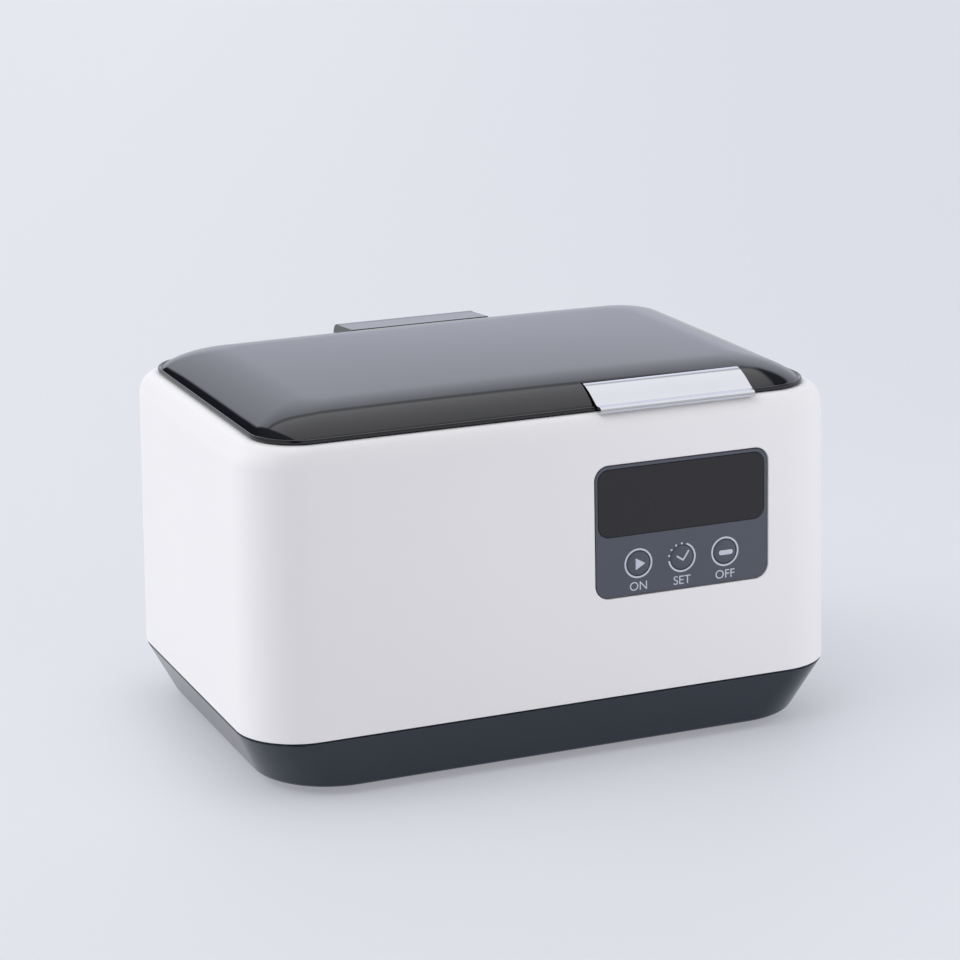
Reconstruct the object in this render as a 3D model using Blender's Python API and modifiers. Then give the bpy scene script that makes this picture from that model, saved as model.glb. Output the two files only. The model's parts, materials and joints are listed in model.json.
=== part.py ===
"""Tabletop ultrasonic cleaner: a moulded housing over a tapered base tray, a drawn steel tank with a
bolted transducer under it, a hinged lid, a three-key control panel and a cooling fan.

Units are metres, +Z is up and the front faces -Y. The origin is the centre of the footprint on the table.
"""

import math

import bmesh
import bpy
from mathutils import Matrix, Vector

MM = 0.001
GAP = 0.3 * MM

# Driving dimensions of the shells. A section is half width, half depth, corner radius and height.
PARTING_Z = 20.3 * MM
SEAM_Z = 114.9 * MM
DRAFT = math.radians(0.97)
WALL = 3.0 * MM
BODY_HALF_X, BODY_HALF_Y, BODY_CORNER = 103.5 * MM, 69.8 * MM, 21.2 * MM
SHOULDER_Z = 107.6 * MM
RIM_HALF_X, RIM_HALF_Y, RIM_CORNER = 96.0 * MM, 64.4 * MM, 16.4 * MM
DECK_Z, DECK_THICKNESS = 112.4 * MM, 3.0 * MM
BASE_Z = 3.0 * MM
BASE_HALF_X, BASE_HALF_Y, BASE_CORNER = 95.4 * MM, 67.4 * MM, 26.0 * MM
TRAY_FLOOR_Z = 5.6 * MM
CORNER_STEPS = 6

# Tank and lid.
TANK_HALF_X, TANK_HALF_Y, TANK_CORNER = 77.5 * MM, 47.5 * MM, 14.0 * MM
TANK_FLANGE_TOP, TANK_DEPTH, TANK_WALL = 114.4 * MM, 52.0 * MM, 0.9 * MM
LID_HALF_X, LID_HALF_Y, LID_CORNER = 95.6 * MM, 64.0 * MM, 16.0 * MM
LID_BOTTOM_Z, LID_RIM_Z, LID_RIM_WIDTH = 115.2 * MM, 116.6 * MM, 0.9 * MM
DOME_FOOT_Z, DOME_INSET, DOME_RUN, DOME_RISE = 115.8 * MM, 1.16 * MM, 22.3 * MM, 7.22 * MM
DOME_EASE, DOME_BULGE, DOME_CROWN = 2.2, 1.338, 1.6 * MM
LID_WALL = 2.4 * MM
LINER_Z, LINER_THICKNESS, RIB_DEPTH = 116.0 * MM, 1.4 * MM, 3.4 * MM
COVER_SCREW_X, COVER_SCREW_Y = 18.0 * MM, 52.3 * MM

# Hinge, with its axis along X.
HINGE_Y, HINGE_Z = 65.0 * MM, 117.6 * MM
BARREL_RADIUS, BARREL_HALF = 4.4 * MM, 25.5 * MM
KNUCKLE_RADIUS, KNUCKLE_HALF, PIN_RADIUS = 2.75 * MM, 20.0 * MM, 1.0 * MM
NOTCH_Z, BLOCK_SCREW_X, BLOCK_SCREW_Y = 111.0 * MM, 15.0 * MM, 61.0 * MM

# Control panel, in its own plane on the drafted front wall.
PANEL_X, PANEL_Z = 43.55 * MM, 75.72 * MM
PANEL_WIDTH, PANEL_HEIGHT, PANEL_CORNER = 61.7 * MM, 43.8 * MM, 4.6 * MM
PANEL_FACE, PANEL_THICKNESS = -0.25 * MM, 1.6 * MM
KEY_PITCH, KEY_ROW_Y, KEY_ROW_X = 15.6 * MM, -11.4 * MM, -0.25 * MM
KEY_HOLE_RADIUS = 4.3 * MM
BOARD_FACE = -10.0 * MM
KEYS = {"on": -1, "set": 0, "off": 1}

# Fan and mains inlet on the back wall.
FAN_X, FAN_Z, FAN_SIZE, FAN_DEPTH = 60.0 * MM, 44.0 * MM, 40.0 * MM, 10.0 * MM
FAN_FRONT_Y = 54.6 * MM
INLET_X, INLET_Z = -62.0 * MM, 40.0 * MM
POST_X, POST_Y, POST_Z, POST_RADIUS = 87.0 * MM, 40.0 * MM, 9.3 * MM, 4.0 * MM
BASE_SCREW_PILOT = 1.75 * MM
FOOT_X, FOOT_Y, FOOT_RADIUS = 74.0 * MM, 48.0 * MM, 6.0 * MM

PARTS = bpy.data.collections.new("ultrasonic_cleaner")
CUTTERS = bpy.data.collections.new("cutters")


# ---------------------------------------------------------------- scene and material helpers


def clear_scene():
    for obj in list(bpy.data.objects):
        bpy.data.objects.remove(obj)
    for collection in (PARTS, CUTTERS):
        bpy.context.scene.collection.children.link(collection)


def plain_material(name, colour, roughness, metallic=0.0):
    material = bpy.data.materials.new(name)
    material.use_nodes = True
    shader = material.node_tree.nodes["Principled BSDF"]
    shader.inputs["Base Color"].default_value = (*colour, 1.0)
    shader.inputs["Roughness"].default_value = roughness
    shader.inputs["Metallic"].default_value = metallic
    return material


def make_materials():
    return {
        "white_abs": plain_material("white_abs", (0.80, 0.80, 0.82), 0.40),
        "slate_abs": plain_material("slate_abs", (0.035, 0.048, 0.062), 0.45),
        "black_gloss": plain_material("black_gloss", (0.012, 0.013, 0.020), 0.10),
        "chrome": plain_material("chrome", (0.86, 0.87, 0.90), 0.10, 1.0),
        "steel": plain_material("steel", (0.60, 0.61, 0.62), 0.28, 1.0),
        "aluminium": plain_material("aluminium", (0.70, 0.71, 0.72), 0.35, 1.0),
        "panel_grey": plain_material("panel_grey", (0.075, 0.085, 0.105), 0.45),
        "smoked_window": plain_material("smoked_window", (0.022, 0.022, 0.026), 0.35),
        "rubber": plain_material("rubber", (0.025, 0.025, 0.027), 0.80),
        "silicone": plain_material("silicone", (0.55, 0.56, 0.57), 0.60),
        "ceramic": plain_material("ceramic", (0.62, 0.55, 0.42), 0.50),
        "brass": plain_material("brass", (0.72, 0.53, 0.22), 0.30, 1.0),
        "board_green": plain_material("board_green", (0.02, 0.16, 0.07), 0.45),
        "black_plastic": plain_material("black_plastic", (0.02, 0.02, 0.022), 0.50),
        "yellow_film": plain_material("yellow_film", (0.75, 0.52, 0.06), 0.45),
        "wire": plain_material("wire", (0.55, 0.03, 0.03), 0.45),
    }


def add_object(name, mesh, material=None, place=Matrix(), parent=None):
    obj = bpy.data.objects.new(name, mesh)
    PARTS.objects.link(obj)
    if parent is not None:
        obj.parent = parent
    obj.matrix_local = place
    if material is not None:
        mesh.materials.append(material)
    return obj


def as_cutter(obj):
    """Moves a helper solid to the cutters, which are hidden and never become parts."""
    PARTS.objects.unlink(obj)
    CUTTERS.objects.link(obj)
    obj.hide_render = True
    obj.display_type = "WIRE"
    return obj


def boolean(obj, other, operation):
    if other.name not in CUTTERS.objects:
        as_cutter(other)
    modifier = obj.modifiers.new(f"{operation.lower()} {other.name}", "BOOLEAN")
    modifier.operation = operation
    modifier.solver = "EXACT"
    modifier.object = other
    return obj


def cut(obj, *others):
    for other in others:
        boolean(obj, other, "DIFFERENCE")
    return obj


def fuse(obj, *others):
    for other in others:
        boolean(obj, other, "UNION")
    return obj


def at(x, y, z):
    return Matrix.Translation((x, y, z))


# ---------------------------------------------------------------- shape helpers


def mesh_from(bm, name):
    bmesh.ops.recalc_face_normals(bm, faces=bm.faces)
    mesh = bpy.data.meshes.new(name)
    bm.to_mesh(mesh)
    bm.free()
    return mesh


def box_mesh(name, size_x, size_y, size_z):
    bm = bmesh.new()
    bmesh.ops.create_cube(bm, size=1.0, matrix=Matrix.Diagonal((size_x, size_y, size_z, 1.0)))
    return mesh_from(bm, name)


def add_box(name, low, high, material=None, parent=None, bevel=0.0):
    """A box between two corners, with its edges rounded where a bevel is given."""
    low, high = Vector(low), Vector(high)
    middle = Matrix.Translation((low + high) / 2)
    obj = add_object(name, box_mesh(name, *(high - low)), material, middle, parent)
    if bevel:
        modifier = obj.modifiers.new("rounded edges", "BEVEL")
        modifier.width = bevel
        modifier.segments = 2
    return obj


def turn_to(axis):
    """The rotation that carries +Z onto an axis."""
    return Vector((0, 0, 1)).rotation_difference(Vector(axis)).to_matrix().to_4x4()


def add_cylinder(name, start, axis, length, radius, material=None, parent=None, end_radius=None, sides=24):
    """A cylinder or cone that runs from its start point along an axis."""
    bm = bmesh.new()
    bmesh.ops.create_cone(
        bm,
        cap_ends=True,
        segments=sides,
        radius1=radius,
        radius2=radius if end_radius is None else end_radius,
        depth=length,
        matrix=at(0, 0, length / 2),
    )
    obj = add_object(name, mesh_from(bm, name), material, Matrix.Translation(start) @ turn_to(axis), parent)
    obj.data.shade_smooth()
    obj.data.set_sharp_from_angle(angle=math.radians(40))
    return obj


def add_turned(name, profile, material=None, place=Matrix(), parent=None, sides=24):
    """A turned shape. The profile is (radius, height) points that run down its outer side."""
    mesh = bpy.data.meshes.new(name)
    points = [(radius, 0.0, height) for radius, height in profile]
    closed = profile[0][0] > 0
    edges = [(i, i + 1) for i in range(len(points) - 1)]
    if closed:
        edges.append((len(points) - 1, 0))
    mesh.from_pydata(points, edges, [])
    obj = add_object(name, mesh, material, place, parent)
    screw = obj.modifiers.new("turned", "SCREW")
    screw.axis = "Z"
    screw.steps = screw.render_steps = sides
    screw.use_merge_vertices = True
    screw.merge_threshold = 0.00001
    screw.use_smooth_shade = True
    return obj


def rounded_ring(half_x, half_y, radius, z, steps=CORNER_STEPS):
    """The points of a rounded rectangle, anticlockwise from the +X side."""
    points = []
    for quarter, (sx, sy) in enumerate(((1, 1), (-1, 1), (-1, -1), (1, -1))):
        centre = Vector((sx * (half_x - radius), sy * (half_y - radius), z))
        for step in range(steps + 1):
            angle = math.radians(90 * (quarter + step / steps))
            points.append(centre + radius * Vector((math.cos(angle), math.sin(angle), 0)))
    return points


def add_loft(name, rings, material=None, closed=False, place=Matrix(), parent=None):
    """Bridges rings of equal point count. A closed loft joins its last ring to its first, and an open
    one is capped at both ends."""
    bm = bmesh.new()
    loops = [[bm.verts.new(point) for point in ring] for ring in rings]
    pairs = list(zip(loops, loops[1:]))
    if closed:
        pairs.append((loops[-1], loops[0]))
    for lower, upper in pairs:
        for i in range(len(lower)):
            j = (i + 1) % len(lower)
            bm.faces.new((lower[i], lower[j], upper[j], upper[i]))
    if not closed:
        bm.faces.new(loops[0])
        bm.faces.new(loops[-1])
    obj = add_object(name, mesh_from(bm, name), material, place, parent)
    obj.data.shade_smooth()
    obj.data.set_sharp_from_angle(angle=math.radians(35))
    return obj


def add_rounded_plate(name, half_x, half_y, radius, low, high, material=None, place=Matrix(), parent=None):
    rings = [rounded_ring(half_x, half_y, radius, z) for z in (low, high)]
    return add_loft(name, rings, material, False, place, parent)


def smooth_route(route, spacing):
    """Points about one spacing apart on a Catmull-Rom curve through the route."""
    points = [Vector(p) for p in route]
    ends = [2 * points[0] - points[1], *points, 2 * points[-1] - points[-2]]
    found = []
    for before, start, stop, after in zip(ends, ends[1:], ends[2:], ends[3:]):
        pieces = max(1, round((stop - start).length / spacing))
        for step in range(pieces):
            t = step / pieces
            found.append(
                0.5
                * (
                    2 * start
                    + (stop - before) * t
                    + (2 * before - 5 * start + 4 * stop - after) * t**2
                    + (3 * start - before - 3 * stop + after) * t**3
                )
            )
    return found + [points[-1]]


def add_lead(name, route, radius, material):
    """A wire or a bundle of wires along a smooth route."""
    curve = bpy.data.curves.new(name, "CURVE")
    curve.dimensions = "3D"
    curve.bevel_depth = radius
    curve.bevel_resolution = 1
    curve.use_fill_caps = True
    points = smooth_route(route, 4 * MM)
    spline = curve.splines.new("POLY")
    spline.points.add(len(points) - 1)
    for target, point in zip(spline.points, points):
        target.co = (*point, 1.0)
    obj = bpy.data.objects.new(name, curve)
    PARTS.objects.link(obj)
    curve.materials.append(material)
    return obj


def joined_boxes(name, boxes, parent=None, place=Matrix()):
    """Several separate boxes in one helper mesh, for a row of slots or fins."""
    bm = bmesh.new()
    for low, high in boxes:
        low, high = Vector(low), Vector(high)
        matrix = Matrix.Translation((low + high) / 2) @ Matrix.Diagonal((*(high - low), 1.0))
        bmesh.ops.create_cube(bm, size=1.0, matrix=matrix)
    return add_object(name, mesh_from(bm, name), None, place, parent)


# ---------------------------------------------------------------- outer shells


def wall_inset(z):
    """How far the drafted wall has moved in from its size at the parting line."""
    return (z - PARTING_Z) * math.tan(DRAFT)


def shoulder_rings(count):
    """Rings of the rounded top edge, a quarter ellipse from the wall in to the rim."""
    inset = wall_inset(SHOULDER_Z)
    wall_x, wall_y = BODY_HALF_X - inset, BODY_HALF_Y - inset
    rings = []
    for step in range(count + 1):
        angle = math.pi / 2 * step / count
        share = 1 - math.cos(angle)
        rings.append(
            rounded_ring(
                wall_x + (RIM_HALF_X - wall_x) * share,
                wall_y + (RIM_HALF_Y - wall_y) * share,
                BODY_CORNER - inset + (RIM_CORNER - BODY_CORNER + inset) * share,
                SHOULDER_Z + (SEAM_Z - SHOULDER_Z) * math.sin(angle),
            )
        )
    return rings


def make_housing(materials):
    deck_under = DECK_Z - DECK_THICKNESS
    lip = 1.6 * MM
    inner_top = wall_inset(deck_under) + WALL
    hole_x, hole_y, hole_corner = (size + 2 * MM for size in (TANK_HALF_X, TANK_HALF_Y, TANK_CORNER))
    inner_x, inner_y, inner_corner = (size - inner_top for size in (BODY_HALF_X, BODY_HALF_Y, BODY_CORNER))
    rings = [rounded_ring(BODY_HALF_X, BODY_HALF_Y, BODY_CORNER, PARTING_Z), *shoulder_rings(5)]
    rings += [
        rounded_ring(RIM_HALF_X - lip, RIM_HALF_Y - lip, RIM_CORNER - lip, SEAM_Z),
        rounded_ring(RIM_HALF_X - lip, RIM_HALF_Y - lip, RIM_CORNER - lip, DECK_Z),
        rounded_ring(hole_x, hole_y, hole_corner, DECK_Z),
        rounded_ring(hole_x, hole_y, hole_corner, deck_under),
        rounded_ring(RIM_HALF_X - WALL, RIM_HALF_Y - WALL, RIM_CORNER - WALL, deck_under),
        rounded_ring(inner_x, inner_y, inner_corner, SHOULDER_Z - WALL),
        rounded_ring(BODY_HALF_X - WALL, BODY_HALF_Y - WALL, BODY_CORNER - WALL, PARTING_Z),
    ]
    housing = add_loft("housing", rings, materials["white_abs"], closed=True)

    up = (0, 0, 1)
    post_length = deck_under + 1 * MM - POST_Z
    for i, (x, y) in enumerate(corner_points(POST_X, POST_Y)):
        fuse(housing, add_cylinder(f"post_{i}", (x, y, POST_Z), up, post_length, POST_RADIUS, sides=12))
        pilot_start = (x, y, POST_Z - 1 * MM)
        cut(housing, add_cylinder(f"pilot_{i}", pilot_start, up, 15 * MM, BASE_SCREW_PILOT, sides=10))

    notch_x = BARREL_HALF + 1.8 * MM
    cut(housing, add_box("hinge_notch", (-notch_x, 58.6 * MM, NOTCH_Z), (notch_x, 75 * MM, 120 * MM)))
    for side in (-1, 1):
        start = (side * BLOCK_SCREW_X, BLOCK_SCREW_Y, NOTCH_Z - 5 * MM)
        cut(housing, add_cylinder(f"hinge_pilot_{side}", start, (0, 0, 1), 8 * MM, 1.5 * MM, sides=10))
    return housing


def corner_points(x, y):
    return [(sx * x, sy * y) for sx in (-1, 1) for sy in (-1, 1)]


def make_base_tray(materials):
    top = PARTING_Z - GAP
    tongue_top, tongue = PARTING_Z + 3.3 * MM, 1.6 * MM
    edge = 1.3 * MM
    outer_x, outer_y = BODY_HALF_X - 0.15 * MM, BODY_HALF_Y - 0.15 * MM
    inside_x, inside_y = BODY_HALF_X - WALL - 0.4 * MM, BODY_HALF_Y - WALL - 0.4 * MM
    inside_r = BODY_CORNER - WALL
    rings = [
        rounded_ring(BASE_HALF_X - edge, BASE_HALF_Y - edge, BASE_CORNER - edge, BASE_Z),
        rounded_ring(BASE_HALF_X - 0.35 * edge, BASE_HALF_Y - 0.35 * edge, BASE_CORNER, BASE_Z + 0.35 * edge),
        rounded_ring(BASE_HALF_X + 0.3 * edge, BASE_HALF_Y, BASE_CORNER, BASE_Z + 1.1 * edge),
        rounded_ring(outer_x, outer_y, BODY_CORNER, top),
        rounded_ring(inside_x, inside_y, inside_r, top),
        rounded_ring(inside_x, inside_y, inside_r, tongue_top),
        rounded_ring(inside_x - tongue, inside_y - tongue, inside_r - tongue, tongue_top),
        rounded_ring(BASE_HALF_X - 2.2 * MM, BASE_HALF_Y - 3.0 * MM, BASE_CORNER - 3 * MM, TRAY_FLOOR_Z),
    ]
    tray = add_loft("base_tray", rings, materials["slate_abs"])

    for i, (x, y) in enumerate(corner_points(POST_X, POST_Y)):
        fuse(tray, add_cylinder(f"tray_boss_{i}", (x, y, 4.5 * MM), (0, 0, 1), 4.5 * MM, 5.0 * MM, sides=16))
        cut(tray, add_cylinder(f"screw_hole_{i}", (x, y, 0), (0, 0, 1), 12 * MM, 1.8 * MM, sides=12))
        cut(tray, add_cylinder(f"screw_sink_{i}", (x, y, 0), (0, 0, 1), 6.4 * MM, 3.3 * MM, sides=16))
    for i, (x, y) in enumerate(corner_points(FOOT_X, FOOT_Y)):
        cut(tray, add_cylinder(f"foot_seat_{i}", (x, y, 0), (0, 0, 1), 4.1 * MM, FOOT_RADIUS + GAP, sides=20))
    for i, (x, y) in enumerate(board_post_points()):
        fuse(tray, add_cylinder(f"board_post_{i}", (x, y, 5.0 * MM), (0, 0, 1), 6.7 * MM, 2.6 * MM, sides=12))

    slots = []
    for row in range(7):
        y = (row - 3) * 6.0 * MM
        for x in (-58 * MM, 58 * MM):
            slots.append(((x - 13 * MM, y - 1.3 * MM, 1 * MM), (x + 13 * MM, y + 1.3 * MM, 9 * MM)))
    cut(tray, joined_boxes("intake_slots", slots))
    return tray


def make_feet_and_screws(materials):
    names = ("left_front", "left_rear", "right_front", "right_rear")
    for name, (x, y) in zip(names, corner_points(FOOT_X, FOOT_Y)):
        profile = [(0, 3.8), (5.9, 3.8), (5.9, 2.4), (5.2, 0.5), (4.7, 0), (0, 0)]
        points = [(r * MM, z * MM) for r, z in profile]
        add_turned(f"foot_{name}", points, materials["rubber"], at(x, y, 0), sides=20)
    for name, (x, y) in zip(names, corner_points(POST_X, POST_Y)):
        # From the top: blunt tip, shank, then the pan head that pulls the tray up.
        profile = [(0, 21.0), (0.7, 21.0), (1.4, 19.5), (1.4, 6.1)]
        profile += [(2.9, 6.1), (2.9, 4.6), (2.3, 4.0), (0, 4.0)]
        points = [(r * MM, z * MM) for r, z in profile]
        screw = add_turned(f"base_screw_{name}", points, materials["steel"], at(x, y, 0), sides=12)
        recess = [((-1.7 * MM, -0.35 * MM, 3 * MM), (1.7 * MM, 0.35 * MM, 5.0 * MM))]
        recess += [((-0.35 * MM, -1.7 * MM, 3 * MM), (0.35 * MM, 1.7 * MM, 5.0 * MM))]
        for i, bar in enumerate(recess):
            cut(screw, joined_boxes(f"{name}_cross_{i}", [bar], place=at(x, y, 0)))


# ---------------------------------------------------------------- tank and transducer


def make_tank(materials):
    """A drawn tank: flange, tapered wall and a rounded bottom, as one sheet of steel."""
    flange = 7.0 * MM
    floor = TANK_FLANGE_TOP - TANK_DEPTH
    taper = 2.5 * MM
    fillet = 7.0 * MM

    def section(inset, z, grow):
        corner = TANK_CORNER + grow - 0.4 * inset
        return rounded_ring(TANK_HALF_X - inset + grow, TANK_HALF_Y - inset + grow, corner, z)

    def skin(grow, drop):
        rings = [section(0, TANK_FLANGE_TOP - drop - 1 * MM, grow)]
        for step in range(4):
            angle = math.pi / 2 * step / 3
            inset = taper + fillet * (1 - math.cos(angle))
            rings.append(section(inset, floor - drop + fillet * (1 - math.sin(angle)), grow))
        return rings

    inner = skin(0, 0)
    inner.insert(0, section(-1 * MM, TANK_FLANGE_TOP, 0))
    outer = skin(TANK_WALL, TANK_WALL)
    outer.insert(0, section(-1 * MM, TANK_FLANGE_TOP - TANK_WALL, 0.2 * MM))
    edge = [section(-flange, TANK_FLANGE_TOP, 0), section(-flange, TANK_FLANGE_TOP - TANK_WALL, 0)]
    rings = list(reversed(inner)) + edge + outer
    add_loft("tank", rings, materials["steel"])

    gasket_low, gasket_high = DECK_Z + 0.25 * MM, TANK_FLANGE_TOP - TANK_WALL - 0.25 * MM
    near, far = 3.2 * MM, 6.4 * MM
    corners = [(near, gasket_low), (near, gasket_high), (far, gasket_high), (far, gasket_low)]
    rings = [rounded_ring(TANK_HALF_X + g, TANK_HALF_Y + g, TANK_CORNER + g, z) for g, z in corners]
    add_loft("tank_gasket", rings, materials["silicone"], closed=True)


def make_transducer(materials):
    """A bolted sandwich transducer, bonded under the tank: cone, two ceramic rings, tail mass and bolt."""
    top = TANK_FLANGE_TOP - TANK_DEPTH - TANK_WALL - GAP
    bore = 4.3 * MM

    def ring_stack(name, profile, material):
        add_turned(name, profile, materials[material], at(0, 0, 0), sides=24)

    z = top
    cone = [(0, z), (19 * MM, z), (19 * MM, z - 3 * MM), (15.5 * MM, z - 20 * MM)]
    cone += [(bore, z - 20 * MM), (bore, z - 8 * MM), (0, z - 8 * MM)]
    ring_stack("transducer_front_mass", cone, "aluminium")
    z -= 20 * MM + GAP

    def washer(name, low, high, inner, outer, material):
        ring_stack(name, [(inner, high), (outer, high), (outer, low), (inner, low)], material)

    washer("piezo_ring_upper", z - 5 * MM, z, 7 * MM, 15 * MM, "ceramic")
    z -= 5 * MM + GAP
    washer("transducer_electrode", z - 0.5 * MM, z, 7 * MM, 15.6 * MM, "brass")
    tab_low = (15.2 * MM, -2 * MM, z - 0.5 * MM)
    electrode = PARTS.objects["transducer_electrode"]
    fuse(electrode, add_box("electrode_tab", tab_low, (21 * MM, 2 * MM, z)))
    tab_z = z - 0.25 * MM
    z -= 0.5 * MM + GAP
    washer("piezo_ring_lower", z - 5 * MM, z, 7 * MM, 15 * MM, "ceramic")
    z -= 5 * MM + GAP
    washer("transducer_back_mass", z - 11 * MM, z, bore, 15 * MM, "steel")
    z -= 11 * MM + GAP
    bolt = [(0, top - 9 * MM), (4 * MM, top - 9 * MM), (4 * MM, z), (6.5 * MM, z), (6.5 * MM, z - 5.5 * MM)]
    bolt += [(0, z - 5.5 * MM)]
    ring_stack("transducer_bolt", bolt, "steel")
    return tab_z


# ---------------------------------------------------------------- lid and hinge


def dome_rings(insets, drop, thinner):
    """Rings of the domed lid, from its foot inwards, with a drop and a smaller size for the inner skin.
    Its edge is a full, superelliptic curve that eases into a shallow crown over the middle."""
    rings = []
    foot_x, foot_y = LID_HALF_X - DOME_INSET - thinner, LID_HALF_Y - DOME_INSET - thinner
    for inset in insets:
        share = min(inset / DOME_RUN, 1.0)
        rise = DOME_RISE * (1 - (1 - share) ** DOME_EASE) ** (1 / DOME_BULGE)
        half_y = foot_y - inset
        radius = min(max(LID_CORNER - DOME_INSET - 0.35 * inset - 0.5 * thinner, 5 * MM), half_y - 1 * MM)
        ring = rounded_ring(foot_x - inset, half_y, radius, DOME_FOOT_Z + rise - drop)
        for point in ring:
            point.z += DOME_CROWN * (1 - (point.x / LID_HALF_X) ** 2) * (1 - (point.y / LID_HALF_Y) ** 2)
        rings.append(ring)
    return rings


def make_lid(materials):
    thin = LID_WALL
    groove_z = LID_RIM_Z - 0.5 * MM
    rim = ((0.4, LID_BOTTOM_Z), (0, LID_BOTTOM_Z + 0.3 * MM), (0, LID_RIM_Z - 0.3 * MM), (0.3, LID_RIM_Z))
    outer = [rounded_ring(LID_HALF_X - d * MM, LID_HALF_Y - d * MM, LID_CORNER, z) for d, z in rim]
    for d, z in ((LID_RIM_WIDTH, LID_RIM_Z), (DOME_INSET + 0.2 * MM, groove_z)):
        outer.append(rounded_ring(LID_HALF_X - d, LID_HALF_Y - d, LID_CORNER - d, z))
    outer += dome_rings([inset * MM for inset in (0.6, 1.5, 3, 5.5, 9, 14, 22.3, 34, 46, 58)], 0, 0)
    inner = [rounded_ring(LID_HALF_X - thin, LID_HALF_Y - thin, LID_CORNER - thin, LID_BOTTOM_Z)]
    inner += dome_rings([inset * MM for inset in (2.6, 5.5, 9, 14, 22.3, 34, 50)], thin, 0.8 * thin)
    lid = add_loft("lid_shell", [*reversed(inner), *outer], materials["black_gloss"])

    handle_low, handle_high = handle_span()
    notch = ((handle_low - GAP, -80 * MM, 110 * MM), (handle_high + GAP, -52.6 * MM, 130 * MM))
    cut(lid, add_box("handle_notch", *notch))
    half = BARREL_HALF + 0.3 * MM
    cut(lid, add_box("hinge_cover_notch", (-half, 50.0 * MM, 110 * MM), (half, 80 * MM, 130 * MM)))


def make_lid_liner(materials):
    """The inner panel closes the lid shell and carries a low rib that drips back into the tank."""
    size_x, size_y, corner = 85.8 * MM, 54.5 * MM, 10 * MM
    rib_x, rib_y, rib_wall = 73.5 * MM, 43.5 * MM, 1.6 * MM
    rings = [
        rounded_ring(size_x, size_y, corner, LINER_Z + LINER_THICKNESS),
        rounded_ring(size_x, size_y, corner, LINER_Z),
        rounded_ring(rib_x, rib_y, corner, LINER_Z),
        rounded_ring(rib_x, rib_y, corner, LINER_Z - RIB_DEPTH),
        rounded_ring(rib_x - rib_wall, rib_y - rib_wall, corner - rib_wall, LINER_Z - RIB_DEPTH),
        rounded_ring(rib_x - rib_wall, rib_y - rib_wall, corner - rib_wall, LINER_Z),
    ]
    liner = add_loft("lid_liner", rings, materials["slate_abs"])
    # Two screws go up through the panel into the hinge cover.
    profile = [(0, 4.9), (1.0, 4.4), (1.0, -0.3), (2.2, -0.3), (2.2, -0.9), (1.8, -1.2), (0, -1.2)]
    points = [(r * MM, z * MM) for r, z in profile]
    for side, name in ((-1, "left"), (1, "right")):
        x, y = side * COVER_SCREW_X, COVER_SCREW_Y
        start = (x, y, LINER_Z - 1 * MM)
        cut(liner, add_cylinder(f"liner_hole_{name}", start, (0, 0, 1), 4 * MM, 1.4 * MM, sides=12))
        add_turned(f"hinge_cover_screw_{name}", points, materials["steel"], at(x, y, LINER_Z), sides=12)


def handle_span():
    """Left and right ends of the pull handle, which is centred over the control panel."""
    return PANEL_X - 28.4 * MM, PANEL_X + 27.1 * MM


def extruded_profile(name, profile, low_x, high_x, material):
    """A closed (y, z) outline run along X."""
    rings = [[Vector((x, y, z)) for y, z in profile] for x in (low_x, high_x)]
    return add_loft(name, rings, material)


def make_handle(materials):
    low, high = handle_span()
    outline = [
        (-53.0, 7.35), (-55.3, 6.75), (-57.6, 5.9), (-59.7, 4.9), (-61.6, 3.8), (-63.3, 2.75), (-64.6, 2.15),
        (-65.5, 1.95), (-66.3, 2.15), (-67.2, 2.15), (-68.0, 1.7), (-68.4, 0.8), (-68.1, 0.0), (-67.2, -0.3),
        (-66.2, -0.2), (-65.4, 0.5), (-62.9, 1.1), (-60.2, 2.5), (-56.4, 4.5), (-53.0, 5.5),
    ]
    profile = [(y * MM, SEAM_Z + z * MM) for y, z in outline]
    extruded_profile("lid_handle", profile, low, high, materials["chrome"])


def hinge_arc(radius, degrees):
    """Points round the hinge axis at a radius, with each angle turned up from the back."""
    angles = [math.radians(angle) for angle in degrees]
    return [(HINGE_Y + radius * math.cos(a), HINGE_Z + radius * math.sin(a)) for a in angles]


def make_hinge_cover(materials):
    """The cover turns with the lid. It is a C-shaped sleeve, open at the back and below so that it swings
    clear of the block, with a wing that runs down on to the dome."""
    inner = KNUCKLE_RADIUS + 0.45 * MM
    arc = [35 + 19 * i for i in range(11)]
    sleeve = hinge_arc(BARREL_RADIUS, arc) + hinge_arc(inner, reversed(arc))
    cover = extruded_profile("hinge_cover", sleeve, -BARREL_HALF, BARREL_HALF, materials["black_gloss"])
    top_line = ((50.3, 123.0), (54.5, 122.65), (59.0, 122.3))
    wing = [(y * MM, z * MM) for y, z in top_line]
    wing += hinge_arc(BARREL_RADIUS - 0.05 * MM, (97,)) + hinge_arc(3.8 * MM, (97, 120, 145, 170, 188))
    wing += [(60.8 * MM, LINER_Z + 1.9 * MM), (50.3 * MM, LINER_Z + 1.9 * MM)]
    fuse(cover, extruded_profile("hinge_wing", wing, -BARREL_HALF, BARREL_HALF, None))
    pin_hole = PIN_RADIUS + 0.35 * MM
    for side in (-1, 1):
        cap_start = (side * (BARREL_HALF - 3.5 * MM), HINGE_Y, HINGE_Z)
        cap_radius = BARREL_RADIUS - 0.02 * MM
        fuse(cover, add_cylinder(f"end_cap_{side}", cap_start, (side, 0, 0), 3.48 * MM, cap_radius, sides=20))
        pilot_start = (side * COVER_SCREW_X, COVER_SCREW_Y, LINER_Z + 1 * MM)
        cut(cover, add_cylinder(f"cover_pilot_{side}", pilot_start, (0, 0, 1), 4.6 * MM, 1.35 * MM, sides=10))
    span = 2 * BARREL_HALF - 2 * MM
    cut(cover, add_cylinder("pin_bore", (-span / 2, HINGE_Y, HINGE_Z), (1, 0, 0), span, pin_hole, sides=12))


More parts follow.
